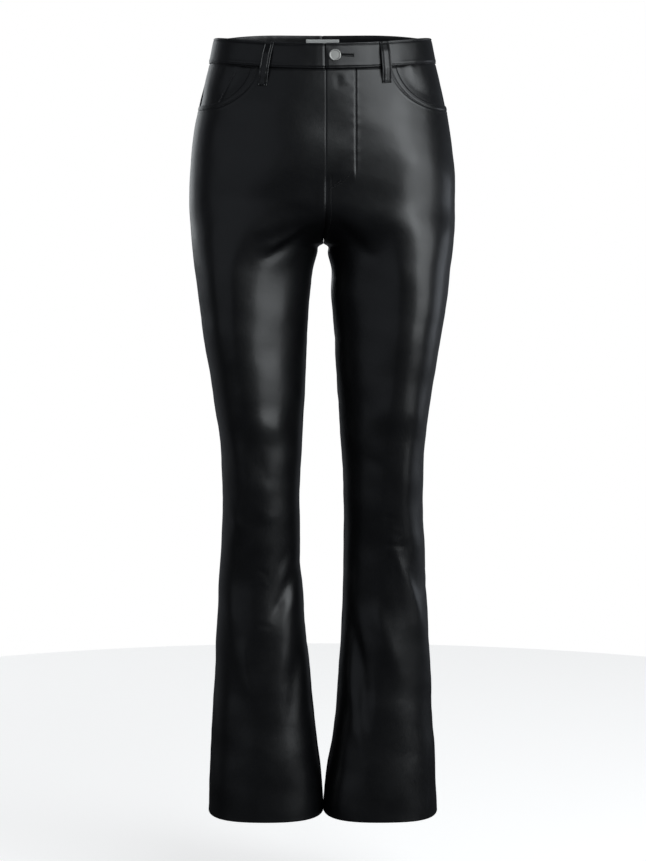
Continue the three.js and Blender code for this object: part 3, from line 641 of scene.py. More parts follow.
def panel_rows(face):
    """For each row, its level at the inner edge, and its level and angle at the outer edge."""
    waist = WAIST_SEAM - SEAM_GAP / 2
    if face == BACK:
        upper = levels_between(FAN_START, waist, 2.9)
        level = np.concatenate([leg_levels(FAN_START), upper, [waist]])
        return level, level, np.full(level.shape, SIDE_EDGE)
    low = leg_levels(FAN_START)
    corner = WAIST_SEAM - MOUTH_DROP
    fan = np.concatenate(
        [levels_between(FAN_START, FAN_FINE, 2.4), levels_between(FAN_FINE, corner, 1)]
    )
    share = even_mouth_shares(92)
    mouth = np.minimum(WAIST_SEAM - mouth_drop(share), waist)
    rise = np.arange(len(fan) + len(mouth)) / (len(fan) + len(mouth) - 1)
    return (
        np.concatenate([low, FAN_START + (waist - FAN_START) * rise]),
        np.concatenate([low, fan, mouth]),
        np.maximum(np.concatenate([np.zeros(len(low) + len(fan)), MOUTH_ANGLE * share]), SIDE_EDGE),
    )


# Distances of a panel's columns from its two edges, in between they are spread evenly.
NEAR_FRONT_EDGE = np.concatenate(
    [[0, 0.3, 0.7, 1.2, 1.9, 2.8, 4, 5.4, 6.6, 7.2, 7.7, 8.2, 8.8, 10], np.arange(12.4, 37, 2.4),
     [38, 38.8, 39.4, 40, 40.6, 41.2, 42, 43.6]]
)
NEAR_EDGE = np.array([0, 0.3, 0.7, 1.2, 1.9, 2.8, 4, 5.4, 7, 9])
NEAR_MOUTH = np.array([0, 0.3, 0.7, 1.3, 2.2, 3.4, 4.6, 5.5, 6.1, 6.6, 7.1, 7.7, 8.6, 10, 12])
MIDDLE_COLUMNS = {FRONT: 46, BACK: 70}


def panel_grid(face, leg):
    """Angle and level of each point of a panel, and its distances from the inner and outer edge."""
    inner_level, outer_level, outer_angle = panel_rows(face)
    share = np.linspace(0, 1, 240)[None, :]
    level = lerp(inner_level[:, None], outer_level[:, None], share)
    angle = lerp(inner_angle(face, leg, level), outer_angle[:, None], share)
    points = form_point(face, leg, angle, level)
    step = np.linalg.norm(np.diff(points, axis=1), axis=-1)
    run = np.concatenate([np.zeros((len(step), 1)), np.cumsum(step, axis=1)], axis=1)
    total = run[:, -1:]
    near = NEAR_FRONT_EDGE if face == FRONT else NEAR_EDGE
    far = NEAR_MOUTH if face == FRONT else NEAR_EDGE
    between = np.linspace(0, 1, MIDDLE_COLUMNS[face] + 2)[None, 1:-1]
    wanted = np.concatenate(
        [
            np.repeat(near[None], len(run), 0),
            near[-1] + (total - near[-1] - far[-1]) * between,
            total - far[None, ::-1],
        ],
        axis=1,
    )
    shares = np.stack([np.interp(w, r, share[0]) for w, r in zip(wanted, run)])
    level = lerp(inner_level[:, None], outer_level[:, None], shares)
    angle = lerp(inner_angle(face, leg, level), outer_angle[:, None], shares)
    return angle, level, wanted, total - wanted


def ridge(distance, half_width, height):
    """A bell curve over the distance from a line."""
    return height * np.exp(-((distance / half_width) ** 2))


def groove(distance, half_width, depth):
    return ridge(distance, half_width, -depth)


def rolled_edge(distance):
    """A sewn edge: it rolls in at the seam, and its allowance lifts the cloth beside it."""
    allowance = smooth(distance, 1, 3.4) * (1 - smooth(distance, 8, 13))
    return groove(distance, 1.0, 0.7) + 0.2 * allowance


def pucker(distance, level, length, shift):
    """Small ripples across a seam, of uneven strength, that die out away from it."""
    wobble = np.sin(2 * math.pi * level / length + 1.7 * np.sin(level / 37 + shift))
    strength = 0.5 + 0.5 * np.sin(level / 83 + 2 * shift)
    return 0.11 * strength * wobble * np.exp(-distance / 7)


def panel_lift(face, leg, angle, level, from_inner, to_outer):
    """What edges, seams and stitching do to a panel, on top of its folds."""
    height = height_of(face, angle, level)
    fly = smooth(height, FLY_END, FLY_END + 16) if face == FRONT else np.zeros_like(height)
    lift = rolled_edge(from_inner) * (1 - fly)
    lift += pucker(from_inner, level, 17, 0.6 * leg) * (1 - fly)
    lift += 0.12 * (1 - smooth(level, HEM_TURN - 8, HEM_TURN + 8))
    lift += groove(WAIST_SEAM - level, 1.8, 1.0)
    hem = np.clip(1 - level / HEM_CLOTH * 1.6, 0, 1)
    lift += -HEM_CLOTH * 0.5 * (1 - np.sqrt(1 - hem**2))
    if face == BACK:
        lift += rolled_edge(to_outer) + pucker(to_outer, level, 21, 1.4 + leg)
        return lift
    below_mouth = 1 - smooth(level, FAN_FINE, WAIST_SEAM - MOUTH_DROP)
    lift += (rolled_edge(to_outer) + pucker(to_outer, level, 21, 1.4 + leg)) * below_mouth
    mouth = np.full(level.shape, 99.0)
    high = level > FAN_START - 20
    mouth[high] = from_mouth(angle[high], level[high])
    lift += groove(mouth, 0.7, 0.6) * (1 - below_mouth * smooth(to_outer, 0, 8))
    lift += 0.75 * (1 - smooth(mouth, MOUTH_TURN, MOUTH_TURN + 1.6))
    lift += groove(mouth - MOUTH_TURN, 1.0, 0.95) + ridge(mouth - MOUTH_TURN - 2.2, 1.1, 0.3)
    if leg == LEFT:
        under = smooth(height, FLY_END + 4, FLY_END + 30)
        lift += 0.95 * (1 - smooth(from_inner, FLY_STITCH - 3, FLY_STITCH + 3)) * fly
        from_stitch = from_inner - FLY_STITCH
        ripple = np.sin(level / 2.9 + np.sin(level / 9))
        lift += (groove(from_stitch, 1.1, 0.95) + ridge(from_stitch - 2.3, 1.1, 0.3)) * under
        lift += groove(from_inner, 0.8, 0.9) * fly
        below_fly = (1 - smooth(height, 874, 880)) * smooth(height, 800, 812)
        lift += groove(from_inner - CROTCH_STITCH, 0.7, 0.35) * below_fly
        lift += ridge(from_stitch, 5, 0.16) * ripple * under
    else:
        lift += groove(from_inner, 0.7, 0.35) * fly
    return lift


def cloth_thickness(level):
    """The wall is two layers along the turned-up hem."""
    return lerp(HEM_CLOTH, CLOTH, smooth(level, HEM_TURN - HEM_STEP, HEM_TURN + HEM_STEP))


def make_panel(face, leg, leather, backing):
    angle, level, from_inner, to_outer = panel_grid(face, leg)
    lift = panel_lift(face, leg, angle, level, from_inner, to_outer)
    outer = cloth_point(face, leg, angle, level, lift)
    inner = outer - normal_at(face, leg, angle, level) * cloth_thickness(level)[..., None]
    name = f"{'front' if face == FRONT else 'back'}_leather_{SIDE_NAMES[leg]}"
    return add_wall(name, outer, inner, leather, backing)


# Pockets

FACING_LAP = 1.13
FACING_END = 0.985
FACING_SINK = CLOTH + 0.8
COIN_SINK = 1.3


def facing_lift(angle, level):
    """The facing sinks under the front panel, deeper where the coin pocket lies on it."""
    sink = FACING_SINK + COIN_SINK * smooth(angle, 0.25, 0.6)
    return -sink * smooth(mouth_reach(angle, level), 0.1, 0.75)


def facing_pucker(angle, level):
    """The facing is pulled into short ripples where the waistband holds it."""
    down = WAIST_SEAM - level
    return 0.28 * np.sin(angle * 46 + 0.12 * down) * np.exp(-down / 9) * smooth(angle, 0.3, 0.75)


def make_facing(leg, leather, backing):
    share = FACING_END * even_mouth_shares(76)[None, :]
    part = np.linspace(0, 1, 60)[:, None]
    angle = np.maximum(MOUTH_ANGLE * FACING_LAP * share, SIDE_EDGE) * np.ones_like(part)
    level = lerp(WAIST_SEAM - FACING_LAP * mouth_drop(share), WAIST_SEAM - SEAM_GAP / 2, part)
    down = WAIST_SEAM - level
    lift = facing_lift(angle, level) + facing_pucker(angle, level)
    lift += rolled_edge(angle * SIDE_RADIUS) + groove(down, 1.6, 0.5)
    outer = cloth_point(FRONT, leg, angle, level, lift)
    inner = outer - normal_at(FRONT, leg, angle, level) * CLOTH
    return add_wall(f"pocket_leather_{SIDE_NAMES[leg]}", outer, inner, leather, backing)


COIN_TOP = WAIST_SEAM - 10
COIN_BOTTOM = WAIST_SEAM - 53
COIN_CLOTH = 1
COIN_STITCH = 2.2


def coin_outer_angle(level):
    """Its outer edge leans: further out at the bottom."""
    return lerp(0.55, 0.7, (level - COIN_BOTTOM) / (COIN_TOP - COIN_BOTTOM))


def coin_lift(angle, level):
    """The coin pocket lies on the facing."""
    return facing_lift(angle, level) + facing_pucker(angle, level) + LAYER_GAP


def make_coin_pocket(leather, backing):
    part = np.linspace(0, 1, 50)[:, None]
    across = np.concatenate([[0, 0.012, 0.03, 0.06, 0.09], np.linspace(0.12, 1, 20)])[None, :]
    level = lerp(COIN_BOTTOM, COIN_TOP, part) * np.ones_like(across)
    angle = lerp(coin_outer_angle(level), 0.93, across)
    edge = (angle - coin_outer_angle(level)) * MOUTH_RADIUS
    round_edge = groove(edge, 0.5, 0.5) + groove(edge - COIN_STITCH, 0.8, 0.5)
    lift = coin_lift(angle, level)
    outer = cloth_point(FRONT, RIGHT, angle, level, lift + COIN_CLOTH + round_edge)
    inner = cloth_point(FRONT, RIGHT, angle, level, lift)
    return add_wall("coin_pocket_leather", outer, inner, leather, backing)


# Waistband

BAND = 2.4
BAND_PROUD = 0.8
BAND_ROUND = 0.2
BAND_SWELL = 0.5  # the padded seam allowances inside lift the whole band
LAP_LIFT = 1.5
LAP_END = 36
LEFT_LAP_SLOPE = (LAP_END + 8, LAP_END + 34)
RIGHT_LAP_SLOPE = (FLY_X - 2.6, FLY_X - 0.1)
BAND_STITCH = 2.2
BAND_HEIGHT = WAIST_TOP - WAIST_SEAM
BAND_TOP_ROUND = 0.9
BAND_ROWS = (BAND_STITCH, BAND_HEIGHT - BAND_STITCH - BAND_TOP_ROUND)
BAND_END_SHRINK = (1, 0.55, 0.985)
BAND_STATIONS = 92  # on each half of a side
LAP_STATIONS = 24


def lap_lift(face, leg, x):
    """Where the halves of the waistband cross, the left one rises and the right one sinks."""
    if face == BACK:
        return np.zeros_like(x)
    if leg == LEFT:
        return LAP_LIFT * (1 - smooth(x, *LEFT_LAP_SLOPE))
    return -(LAP_LIFT + BAND_SWELL) * smooth(x, *RIGHT_LAP_SLOPE)


def band_profile():
    """Lift and height in the band, from its outer lower edge over the top to its inner one."""
    low = np.array([0, 0.25, 0.6, 1.0, 1.4, 1.8, 2.2, 2.6, 3.2, 4.2])
    high = (BAND_HEIGHT - low[:-1])[::-1] - BAND_TOP_ROUND
    up = np.concatenate([low, np.linspace(6, BAND_HEIGHT - 6, 12), high])
    swell = BAND_ROUND * np.sin(math.pi * up / BAND_HEIGHT)
    lift = BAND_PROUD + BAND_SWELL + swell + groove(up, 0.7, 1.6) + ridge(up - 3.9, 1.3, 0.3)
    for line in BAND_ROWS:
        lift = lift + groove(up - line, 0.8, 0.6)
    outer = np.stack([lift, up], -1)
    turn = np.linspace(0, math.pi, 9)[1:-1]
    middle = BAND_PROUD - BAND / 2
    shoulder = BAND_HEIGHT - BAND_TOP_ROUND
    across = middle + BAND / 2 * np.cos(turn)
    top = np.stack([across, shoulder + BAND_TOP_ROUND * np.sin(turn)], -1)
    down = np.linspace(shoulder, 0, 8)
    inner = np.stack([np.full(8, BAND_PROUD - BAND), down], -1)
    profile = np.concatenate([outer, top, inner])
    return profile[: len(profile) // 2 * 2]


def band_stations(leg):
    """Face, half and angle function of each station, from the seat seam round to the front end."""
    share = np.linspace(0, 1, BAND_STATIONS, endpoint=False)

    def eased(s):
        return s - 0.09 * np.sin(2 * math.pi * s) / (2 * math.pi)

    def back(s):
        return lambda level: lerp(inner_angle(BACK, leg, level), 0, s)

    def front(s):
        return lambda level: lerp(0, inner_angle(FRONT, leg, level), s)

    def lap(s):
        return lambda level: angle_at_x(FRONT, LEFT, lerp(FLY_X, LAP_END, s), level)

    stations = [(BACK, leg, back(s)) for s in eased(share)]
    stations += [(FRONT, leg, front(s)) for s in eased(np.append(share, 1))]
    if leg == RIGHT:
        stations += [(FRONT, LEFT, lap(s)) for s in np.linspace(0, 1, LAP_STATIONS)[1:]]
    return stations


def band_ripple(face, x, up):
    """The stitched edges pull the band into faint uneven ripples."""
    edge = np.exp(-up / 7) + np.exp(-(BAND_HEIGHT - up) / 7)
    return 0.13 * edge * np.sin(x / 2.6 + 1.3 * np.sin(x / 11) + face)


def make_waistband(leg, leather):
    profile = band_profile()
    lift, up = profile[:, 0], profile[:, 1]
    level = WAIST_SEAM + SEAM_GAP / 2 + up
    rings = []
    for face, half, angle_of in band_stations(leg):
        angle = angle_of(level)
        point = form_point(face, half, angle, level)
        x = point[..., 0]
        total = lift + lap_lift(face, leg, x) + band_ripple(face, x, up) + main_folds(face, point)
        rings.append(point + normal_at(face, half, angle, level) * total[..., None])
    rings = np.stack(rings)
    for end in (0, -1):  # rounds the two ends
        centre = rings[end].mean(0)
        rings[end] = centre + (rings[end] - centre) * BAND_END_SHRINK
    return add_loft(f"waistband_leather_{SIDE_NAMES[leg]}", rings, [leather])


# Belt loops

LOOP_WIDTH = 12.4
LOOP_CLOTH = 2
LOOP_STAND = 3.0
LOOP_TOP = WAIST_TOP - 1
LOOP_STITCH = 2.4  # in from each long edge
LOOP_TACK = 2.6  # in from each end
LOOP_ON_BAND = BAND_PROUD + 0.25
Loop = namedtuple("Loop", "name face top_x bottom_x below")
LOOPS = [
    Loop("front_right", FRONT, -70.4, -80.5, 26),
    Loop("front_left", FRONT, 81.5, 85.8, 22),
    Loop("back_right", BACK, -92, -96, 24),
    Loop("back_left", BACK, 92, 96, 24),
    Loop("centre_back", BACK, 0, 0, 24),
]


def body_point(face, x, level, lift):
    """A point above the crotch by its x, with the normal there."""
    x, level, lift = np.broadcast_arrays(
        np.asarray(x, float), np.asarray(level, float), np.asarray(lift, float)
    )
    points = np.empty(x.shape + (3,))
    normals = np.empty(x.shape + (3,))
    for leg in (LEFT, RIGHT):
        here = (x >= middle_x(face, level)) == (leg == LEFT)
        if not here.any():
            continue
        angle = angle_at_x(face, leg, x[here], level[here])
        normal = normal_at(face, leg, angle, level[here])
        point = form_point(face, leg, angle, level[here])
        points[here] = point + normal * (main_folds(face, point) + lift[here])[..., None]
        normals[here] = normal
    return points, normals


def loop_lift(part, level):
    """A loop lies on the cloth at its ends and stands off the waistband between them."""
    on_band = LOOP_ON_BAND * smooth(level, WAIST_SEAM - 8, WAIST_SEAM - 1)
    bow = smooth(part, 0.06, 0.3) * (1 - smooth(part, 0.72, 0.96))
    return on_band + LAYER_GAP + LOOP_STAND * bow


def loop_length(loop):
    return BAND_HEIGHT + loop.below


def loop_level(loop, part):
    return lerp(WAIST_SEAM - loop.below, LOOP_TOP, part)


def loop_x(loop, part, across):
    return lerp(loop.bottom_x, loop.top_x, part) + across


def loop_surface(across, part, length):
    """The outer face over the inner one: rounded edges, two stitched grooves and tacked ends."""
    from_edge = LOOP_WIDTH / 2 - np.abs(across)
    from_end = np.minimum(part, 1 - part) * length

    def round_off(distance, r):
        return r - np.sqrt(np.maximum(0, r * r - np.maximum(0, r - distance) ** 2))

    lift = LOOP_CLOTH - round_off(from_edge, 0.9) - round_off(from_end, 0.9)
    lift += groove(from_edge - LOOP_STITCH, 0.75, 0.75)
    lift += groove(LOOP_WIDTH / 2 - from_edge, 2.4, 0.25) + groove(from_end - LOOP_TACK, 1.5, 0.6)
    return lift


def make_loop(loop, leather):
    half = LOOP_WIDTH / 2
    edge = np.array([0, 0.1, 0.3, 0.6, 1.0, 1.4, 1.8, 2.1, 2.4, 2.7, 3.0, 3.5, 4.3, 5.2])
    across = np.concatenate([edge - half, [0], (half - edge)[::-1]])[None, :]
    length = loop_length(loop)
    ends = np.array([0, 0.1, 0.3, 0.6, 1.0, 1.5, 2.1, 2.6, 3.1, 3.7, 4.5]) / length
    middle = np.linspace(ends[-1], 1 - ends[-1], 46)[1:-1]
    part = np.concatenate([ends, middle, (1 - ends)[::-1]])[:, None]
    level = loop_level(loop, part) * np.ones_like(across)
    x = loop_x(loop, part, across)
    base = loop_lift(part, level)
    outer, _ = body_point(loop.face, x, level, base + loop_surface(across, part, length))
    inner, _ = body_point(loop.face, x, level, base)
    return add_wall(f"belt_loop_leather_{loop.name}", outer, inner, leather)


def stitch_loop(loop, thread):
    """Two rows of stitches along the loop and a bar tack across each end."""
    length = loop_length(loop)
    part = np.linspace(3.4 / length, 1 - 3.4 / length, 60)
    for side in (-1, 1):
        across = np.full(part.shape, side * (LOOP_WIDTH / 2 - LOOP_STITCH))
        level = loop_level(loop, part)
        lift = loop_lift(part, level) + loop_surface(across, part, length)
        line, normals = body_point(loop.face, loop_x(loop, part, across), level, lift)
        thread.row(line, normals, pitch=2.7, length=2.1, radius=0.24)
    for place in (LOOP_TACK / length, 1 - LOOP_TACK / length):
        tack(thread, loop, place, length)


def tack(thread, loop, place, length):
    """Close stitches side by side along the loop, in a bar across it."""
    across = np.linspace(-LOOP_WIDTH / 2 + 1.1, LOOP_WIDTH / 2 - 1.1, 24)
    ends = []
    for reach in (-1, 1):
        part = np.full(across.shape, place) + reach * 0.85 / length
        level = loop_level(loop, part)
        lift = loop_lift(part, level) + loop_surface(across, part, length) + 0.12
        ends.append(body_point(loop.face, loop_x(loop, part, across + reach * 0.12), level, lift))
    thread.bars(ends[0][0], ends[1][0], ends[0][1], 0.24)


# Label and button

LABEL_WIDTH = 47
LABEL_BOTTOM = WAIST_SEAM + 6
LABEL_TOP = WAIST_TOP - 5


def make_label(cloth):
    x = np.linspace(-0.5, 0.5, 72)[None, :] * LABEL_WIDTH
    up = np.concatenate([[0, 0.3, 0.8], np.linspace(1.6, 22, 26), [22.7, 23.2, 23.5]])[:, None]
    level = LABEL_BOTTOM + up
    level, x = np.broadcast_arrays(level, x)
    edge = np.minimum(level - LABEL_BOTTOM, LABEL_TOP - level)
    edge = np.minimum(LABEL_WIDTH / 2 - np.abs(x), edge)
    rise = 0.9 * (1 - np.exp(-edge / 0.4)) + groove(edge - 1.5, 0.5, 0.12)
    rise = rise - 0.2 + 0.1 * np.sin(x / 5.3)
    inside = BAND_PROUD - BAND - LAYER_GAP
    outer, _ = body_point(BACK, x, level, np.full(x.shape, inside))
    inner, _ = body_point(BACK, x, level, inside - np.maximum(rise, 0.1))
    return add_wall("label_tape", outer, inner, cloth)


BUTTON_X = 16.4
BUTTON_LEVEL = WAIST_SEAM + 18
HOLE_LENGTH = 24
HOLE_WIDTH = 1.6
EYELET_RADIUS = 2.6
# From the shank's foot round the rim to the middle of the face: radius and height over the band.
BUTTON_PROFILE = [
    (0.0, -2.5), (1.2, -2.5), (2.0, -2.4), (2.0, -0.6), (2.1, -0.1), (2.6, 0.25), (3.6, 0.32),
    (6.6, 0.34), (7.5, 0.42), (7.95, 0.62), (8.15, 0.9), (8.2, 1.15), (8.1, 1.42), (7.85, 1.66),
    (7.45, 1.82), (7.0, 1.87), (6.6, 1.84), (6.3, 1.76), (6.1, 1.68), (5.9, 1.64), (5.6, 1.62),
    (5.2, 1.62), (4.6, 1.63), (3.8, 1.64), (2.8, 1.65), (1.6, 1.66), (0.6, 1.66), (0.0, 1.66),
]


def button_frame():
    """Place of the button on the waistband: a point, and the directions along, up and out."""
    lift = BAND_PROUD + BAND_ROUND + LAP_LIFT
    place, out = body_point(FRONT, np.array([BUTTON_X]), np.array([BUTTON_LEVEL]), np.array([lift]))
    place, out = place[0], out[0]
    up = np.array([0.0, 0.0, 1.0])
    up = unit(up - out * out[2])
    return place, np.cross(up, out), up, out


def make_button(metal):
    place, along, up, out = button_frame()
    around = 96
    turn = np.linspace(0, 2 * math.pi, around, endpoint=False)
    radius, height = np.array(BUTTON_PROFILE).T
    ring = np.cos(turn)[:, None] * along + np.sin(turn)[:, None] * up
    rings = place + radius[1:-1, None, None] * ring[None] + height[1:-1, None, None] * out
    return add_loft("button_metal", rings, [metal])


def buttonhole_cutter():
    """A keyhole through the left half of the band, as a closed bar that is cut out of it."""
    place, along, up, out = button_frame()
    meet = math.asin(HOLE_WIDTH / 2 / EYELET_RADIUS)
    turn = np.linspace(meet, 2 * math.pi - meet, 25)
    shape = [(EYELET_RADIUS * math.cos(a), EYELET_RADIUS * math.sin(a)) for a in turn]
    shape += [(HOLE_LENGTH, -HOLE_WIDTH / 2), (HOLE_LENGTH + 0.5, 0), (HOLE_LENGTH, HOLE_WIDTH / 2)]
    shape = np.array(shape)
    rings = []
    for depth in (-1.9, 1.5):
        rings.append(place + shape[:, :1] * along + shape[:, 1:] * up + depth * out)
    rings = np.stack(rings)
    count = rings.shape[1]
    if count % 2:
        rings = np.concatenate([rings, (rings[:, -1:] + rings[:, :1]) / 2], axis=1)
    return add_loft("buttonhole_cutter", rings, [])


def cut(obj, cutter):
    """Cuts one closed piece out of another, for good."""
    change = obj.modifiers.new("buttonhole", "BOOLEAN")
    change.operation = "DIFFERENCE"
    change.solver = "EXACT"
    change.object = cutter
    done = obj.evaluated_get(bpy.context.evaluated_depsgraph_get())
    mesh = bpy.data.meshes.new_from_object(done)
    obj.modifiers.clear()
    obj.data = mesh
    bpy.data.objects.remove(cutter)


def stitch_buttonhole(thread):
    """Close stitches along both lips of the slit and across its end."""
    place, along, up, out = button_frame()
    count = 46
    run = np.linspace(EYELET_RADIUS + 0.6, HOLE_LENGTH - 0.2, count)
    for side in (-1, 1):
        near = place + run[:, None] * along + side * HOLE_WIDTH / 2 * 0.8 * up - 0.15 * out
        far = place + run[:, None] * along + side * (HOLE_WIDTH / 2 + 1.5) * up + 0.02 * out
        thread.bars(near, far, np.repeat(out[None], count, 0), 0.25)
    rise = np.linspace(-HOLE_WIDTH / 2 - 1.3, HOLE_WIDTH / 2 + 1.3, 12)
    near = place + HOLE_LENGTH * along + rise[:, None] * up
    thread.bars(near, near + 2.1 * along, np.repeat(out[None], 12, 0), 0.25)


# Stitching

def surface_line(face, leg, angle, level, lift):
    points = cloth_point(face, leg, angle, level, lift)
    return points, normal_at(face, leg, angle, level)


def stitch_beside_seam(thread, face, leg, away, low, high, lift, radius=0.26):
    """A row of stitches at a fixed distance from a panel's inner edge."""
    level = np.linspace(low, high, 300)
    edge = inner_angle(face, leg, level)
    step = 0.01
    near = form_point(face, leg, edge - step, level)
    speed = np.linalg.norm(near - form_point(face, leg, edge - 2 * step, level), axis=-1) / step
    angle = edge - away / np.maximum(speed, 1)
    for _ in range(6):
        share = np.linspace(0, 1, 40)[:, None]
        path = form_point(face, leg, lerp(edge, angle, share), np.broadcast_to(level, (40, 300)))
        run = np.linalg.norm(np.diff(path, axis=0), axis=-1).sum(0)
        angle = edge + (angle - edge) * away / run
    line, normals = surface_line(face, leg, angle, level, lift)
    thread.row(line, normals, radius=radius)


# x and height of the fly's stitching below its straight part.
FLY_CURVE = [(42, 907), (41.4, 897), (39, 886), (34.5, 877.5), (28, 870.5), (19, 865), (9, 861)]


def lift_beyond_folds(x, height):
    """The front's fine folds and waves, for points that have the main folds already."""
    return cloth_lift(FRONT, x, height) - fold_at(FOLDS, FRONT, x, height)


def stitch_fly(thread):
    """The fly's stitching curves in below to the bar tack at the end of the opening."""
    x, height = np.array(FLY_CURVE, float).T
    share = np.linspace(0, 1, len(x))
    fine = np.linspace(0, 1, 160)
    x, height = np.interp(fine, share, x), np.interp(fine, share, height)
    for _ in range(3):
        x[1:-1] = (x[:-2] + 2 * x[1:-1] + x[2:]) / 4
        height[1:-1] = (height[:-2] + 2 * height[1:-1] + height[2:]) / 4
    line, normals = body_point(FRONT, x, height, 0.9 + lift_beyond_folds(x, height))
    thread.row(line, normals, radius=0.26)
    across = np.linspace(0, 1, 26)
    for_tack = np.stack([lerp(8, 24, across), lerp(859, 872, across)], -1)
    ends = []
    for side in (-1, 1):
        x, height = for_tack[:, 0] - side * 0.7, for_tack[:, 1] + side * 0.9
        ends.append(body_point(FRONT, x, height, 0.95 + lift_beyond_folds(x, height)))
    thread.bars(ends[0][0], ends[1][0], ends[0][1], 0.3)


def stitch_mouth(thread, leg):
    share = even_mouth_shares(200)[2:-6]
    across, level = share * MOUTH_ANGLE * MOUTH_RADIUS, WAIST_SEAM - mouth_drop(share)
    run = np.stack([np.gradient(across), np.gradient(level)], -1)
    run /= np.linalg.norm(run, axis=-1, keepdims=True)
    across, level = across + MOUTH_TURN * run[:, 1], level - MOUTH_TURN * run[:, 0]
    keep = level < WAIST_SEAM - 2
    angle = np.maximum(across[keep] / MOUTH_RADIUS, 0.002)
    line, normals = surface_line(FRONT, leg, angle, level[keep], 0.02)
    thread.row(line, normals, radius=0.26)


def stitch_coin_pocket(thread):
    level = np.linspace(COIN_BOTTOM + 1, COIN_TOP - 1.5, 120)
    angle = coin_outer_angle(level) + COIN_STITCH / MOUTH_RADIUS
    lift = coin_lift(angle, level) + COIN_CLOTH - STITCH_SINK
    line, normals = surface_line(FRONT, RIGHT, angle, level, lift)
    thread.row(line, normals, radius=0.24)


def stitch_waistband(thread, leg):
    for up in BAND_ROWS:
        level = np.array([WAIST_SEAM + SEAM_GAP / 2 + up])
        points, normals = [], []
        stations = band_stations(leg)
        for face, half, angle_of in stations[2:2 * BAND_STATIONS if leg == RIGHT else -3]:
            angle = angle_of(level)
            point = form_point(face, half, angle, level)
            x = point[..., 0]
            lift = BAND_PROUD - STITCH_SINK + lap_lift(face, leg, x) + band_ripple(face, x, up)
            lift = lift + main_folds(face, point)
            normal = normal_at(face, half, angle, level)
            points.append((point + normal * lift[..., None])[0])
            normals.append(normal[0])
        line, normals = np.array(points), np.array(normals)
        if leg == RIGHT:
            seen = line[:, 0] < FLY_X - 4
            ahead = line[:, 1] < 0
            line, normals = line[seen | ~ahead], normals[seen | ~ahead]
        thread.row(line, normals, radius=0.26)


# Materials

def srgb(text):
    """A colour as Blender wants it, from the six figures that a colour picker shows."""
    parts = [int(text[i:i + 2], 16) / 255 for i in (0, 2, 4)]
    return [p / 12.92 if p <= 0.04045 else ((p + 0.055) / 1.055) ** 2.4 for p in parts] + [1.0]


def add_node(tree, kind, settings=None, links=None, values=None):
    """A node with its settings, its inputs' values, and what its inputs are linked to."""
    node = tree.nodes.new(kind)
    for name, value in (settings or {}).items():
        setattr(node, name, value)
    for name, value in (values or {}).items():
        node.inputs[name].default_value = value
    for name, output in (links or {}).items():
        tree.links.new(output, node.inputs[name])
    return node


def new_material(name):
    material = bpy.data.materials.new(name)
    material.use_nodes = True
    tree = material.node_tree
    tree.nodes.clear()
    return material, tree


def object_place(tree):
    return add_node(tree, "ShaderNodeTexCoord").outputs["Object"]


def noise(tree, place, scale, detail, roughness=0.5):
    values = {"Scale": scale, "Detail": detail, "Roughness": roughness}
    return add_node(tree, "ShaderNodeTexNoise", links={"Vector": place}, values=values).outputs[0]


def ribs(tree, place, direction, scale, distortion):
    """Soft stripes across a direction."""
    return add_node(
        tree,
        "ShaderNodeTexWave",
        settings={"bands_direction": direction},
        links={"Vector": place},
        values={"Scale": scale, "Distortion": distortion},
    ).outputs[1]


def two_tones(tree, factor, first, second):
    return add_node(
        tree,
        "ShaderNodeMix",
        settings={"data_type": "RGBA"},
        links={"Factor": factor},
        values={6: srgb(first), 7: srgb(second)},
    ).outputs[2]


def bump(tree, height, strength, distance, under=None):
    """The normal over a relief, on top of another bump's normal where there is one."""
    links = {"Height": height} if under is None else {"Height": height, "Normal": under}
    values = {"Strength": strength, "Distance": distance}
    return add_node(tree, "ShaderNodeBump", links=links, values=values).outputs[0]


def by_ray(tree, to_others, to_camera):
    """One shader for camera rays, and another for reflections and light."""
    seen = add_node(tree, "ShaderNodeLightPath").outputs["Is Camera Ray"]
    links = {0: seen, 1: to_others.outputs[0], 2: to_camera.outputs[0]}
    return add_node(tree, "ShaderNodeMixShader", links=links)


def end_material(tree, shader_values, links):
    shader = add_node(tree, "ShaderNodeBsdfPrincipled", values=shader_values, links=links)
    add_node(tree, "ShaderNodeOutputMaterial", links={"Surface": shader.outputs[0]})


def coated_leather():
    """Cloth with a thick black polyurethane skin, embossed with a fine grain, in a satin gloss.

    The gloss gives broad soft highlights, the grain breaks them up at their edges, and the cloudy
    gloss is what handling and folding leave.
    """
    material, tree = new_material("coated_leather_black")
    place = object_place(tree)
    cloud = noise(tree, place, 26, 4, 0.6)
    gloss = add_node(
        tree,
        "ShaderNodeMapRange",
        links={"Value": cloud},
        values={"From Min": 0.3, "From Max": 0.7, "To Min": 0.33, "To Max": 0.41},
    ).outputs[0]
    # Grain cells of about 0.9 mm, and finer wrinkles between them.
    cells = add_node(
        tree,
        "ShaderNodeTexVoronoi",
        settings={"feature": "SMOOTH_F1"},
        links={"Vector": place},
        values={"Scale": 1100, "Smoothness": 0.5},
    ).outputs["Distance"]
    grain = add_node(
        tree,
        "ShaderNodeMath",
        settings={"operation": "MULTIPLY_ADD"},
        links={0: noise(tree, place, 420, 5, 0.65), 2: cells},
        values={1: 0.8},
    ).outputs[0]
    waves = bump(tree, noise(tree, place, 75, 3), 0.35, 0.0007)
    end_material(
        tree,
        {"IOR": 1.5, "Coat Weight": 0.3, "Coat Roughness": 0.22, "Coat IOR": 1.45},
        {
            "Base Color": two_tones(tree, cloud, "0b0b0d", "111214"),
            "Roughness": gloss,
            "Normal": bump(tree, grain, 0.22, 0.00018, waves),
        },
    )
    return material


